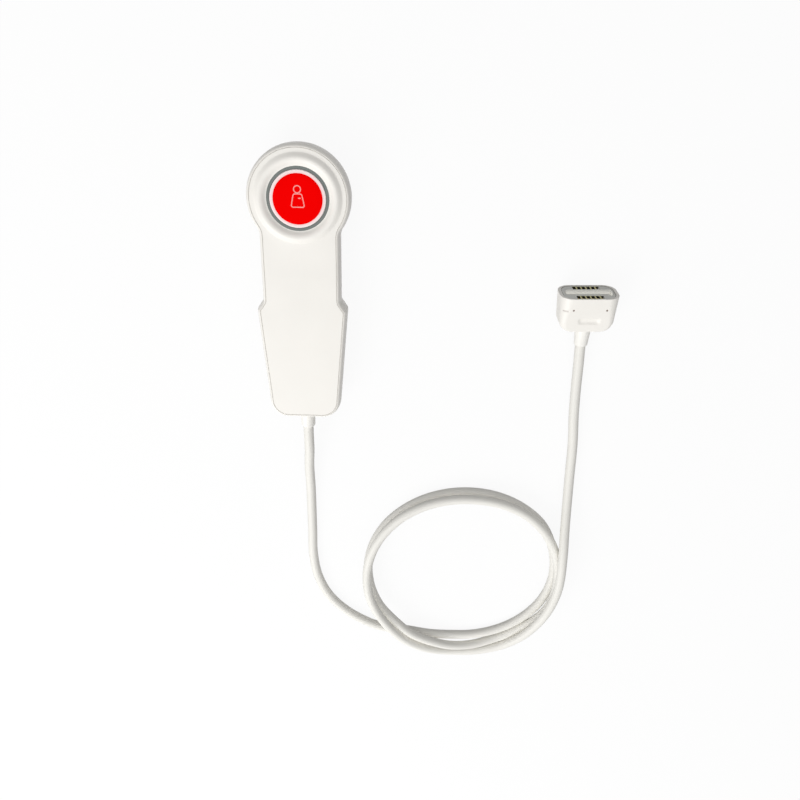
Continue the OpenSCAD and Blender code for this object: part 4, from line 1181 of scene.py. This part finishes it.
def leadTint(tree):
    # One colour to each lead, from left to right
    half, colours = leadLook["halfSpan"] * mm, leadLook["colours"]
    ramp = tree.nodes.new("ShaderNodeValToRGB")
    plug(objectCoords(tree).axes()[0].spread(-half, half), ramp.inputs["Fac"])
    ramp.color_ramp.interpolation = "CONSTANT"
    bands = ramp.color_ramp.elements
    bands.remove(bands[1])
    bands[0].color = screenColour(*colours[0])
    for i in range(1, len(colours)):
        bands.new(i / len(colours)).color = screenColour(*colours[i])
    return nodeValue(ramp.outputs["Color"])


dress(plasticFinish("leadInsulation", leadLook, colour=leadTint), "inner_leads")

boardLook = {
    "colour": (24, 92, 50), "roughness": 0.35, "grainScale": 2500, "relief": 0.004,
    "shadeShift": 0.03, "track": (52, 132, 76),
}


def boardTint(tree):
    # Copper tracks that run up the board under its green coat
    tracks = addNode(tree, "ShaderNodeTexBrick", {"offset": 0.5, "squash": 1.0},
                     Vector=objectCoords(tree), Scale=160.0, Mortar_Size=0.035,
                     Mortar_Smooth=0.1, Brick_Width=0.42, Row_Height=1.4)["Fac"]
    return tracks.mixed(screenColour(*boardLook["colour"]), screenColour(*boardLook["track"]))


dress(plasticFinish("boardCoat", boardLook, colour=boardTint), "circuit_board")
print("inner pieces dressed")


# Stage and light: white floor and surroundings, one large soft lamp from the lower left

stagePlan = {
    "floorSize": 4.0, "floorDrop": 0.0002, "floorBounce": 0.42, "shadowShow": 0.12,
    "speckScale": 40, "speckLow": 0.97, "seenMore": 0.5,
    "skyLow": 0.12, "skyRise": 0.68,  # light at the horizon, and what is added overhead
    "lampWay": (-0.53, -0.57, 0.63), "lampDistance": 1.3, "lampSize": 0.8,
    "lampPowers": (6.2, 6.2),  # of the lamp that casts shadows, and of its fill that casts none
}


def seenDirectly(tree):
    # 1 for what the camera, a reflection or a clear piece sees, 0 for light that bounces
    path = addNode(tree, "ShaderNodeLightPath")
    mirrored = path["Is Glossy Ray"].orMore(path["Is Transmission Ray"])
    return path["Is Camera Ray"].orMore(mirrored)


def makeFloor(plan):
    # Seen directly it is white with a share of the shadows, and it bounces less light
    half, bounce = plan["floorSize"] / 2, plan["floorBounce"]
    mesh = bpy.data.meshes.new("floor")
    mesh.from_pydata([(x * half, y * half, -plan["floorDrop"])
                      for x, y in ((-1, -1), (1, -1), (1, 1), (-1, 1))], [], [(0, 1, 2, 3)])
    floor = newObject("floor", mesh)
    material, tree = newMaterial("floorPaper")[:2]
    tree.nodes.clear()
    seen = seenDirectly(tree)
    speck = objectCoords(tree).noise(plan["speckScale"], 3)
    shown = seen * plan["seenMore"] + speck.spread(0.3, 0.7, bounce * plan["speckLow"], bounce)
    grey = addNode(tree, "ShaderNodeCombineColor", Red=shown, Green=shown, Blue=shown)["Color"]
    layers = [addNode(tree, "ShaderNodeBsdfDiffuse", Color=grey)["BSDF"],
              addNode(tree, "ShaderNodeEmission", Strength=1.0)["Emission"]]
    surface = (seen * (1 - plan["shadowShow"])).through("ShaderNodeMixShader", {}, layers,
                                                        places=(0, 1, 2))
    addNode(tree, "ShaderNodeOutputMaterial", Surface=surface)
    mesh.materials.append(material)


def makeSky(plan):
    # The light rises with the height of the direction. Seen directly it is white.
    world = bpy.data.worlds.new("studio")
    world.use_nodes = True
    tree = world.node_tree
    back = tree.nodes["Background"].inputs
    plug((1, 1, 1, 1), back["Color"])
    upward = addNode(tree, "ShaderNodeTexCoord")["Generated"].axes()[2]
    light = upward.orMore(0) * plan["skyRise"] + plan["skyLow"]
    plug(light.orMore(seenDirectly(tree)), back["Strength"])
    bpy.context.scene.world = world


def makeLamps(plan):
    # Two square lamps in one place, of which only the first casts shadows
    way = Vector(plan["lampWay"]).normalized()
    place = Vector(cameraPlan["target"]) + way * plan["lampDistance"]
    turn = way.to_track_quat("Z", "Y").to_matrix().to_4x4()
    for name, power in zip(("softBox", "softFill"), plan["lampPowers"]):
        light = bpy.data.lights.new(name, "AREA")
        light.shape = "SQUARE"
        light.size = plan["lampSize"]
        light.energy = power
        light.use_shadow = name == "softBox"
        newObject(name, light).matrix_world = Matrix.Translation(place) @ turn


makeFloor(stagePlan)
makeSky(stagePlan)
makeLamps(stagePlan)
bpy.context.scene.view_settings.view_transform = "Standard"
print("stage and light ready")
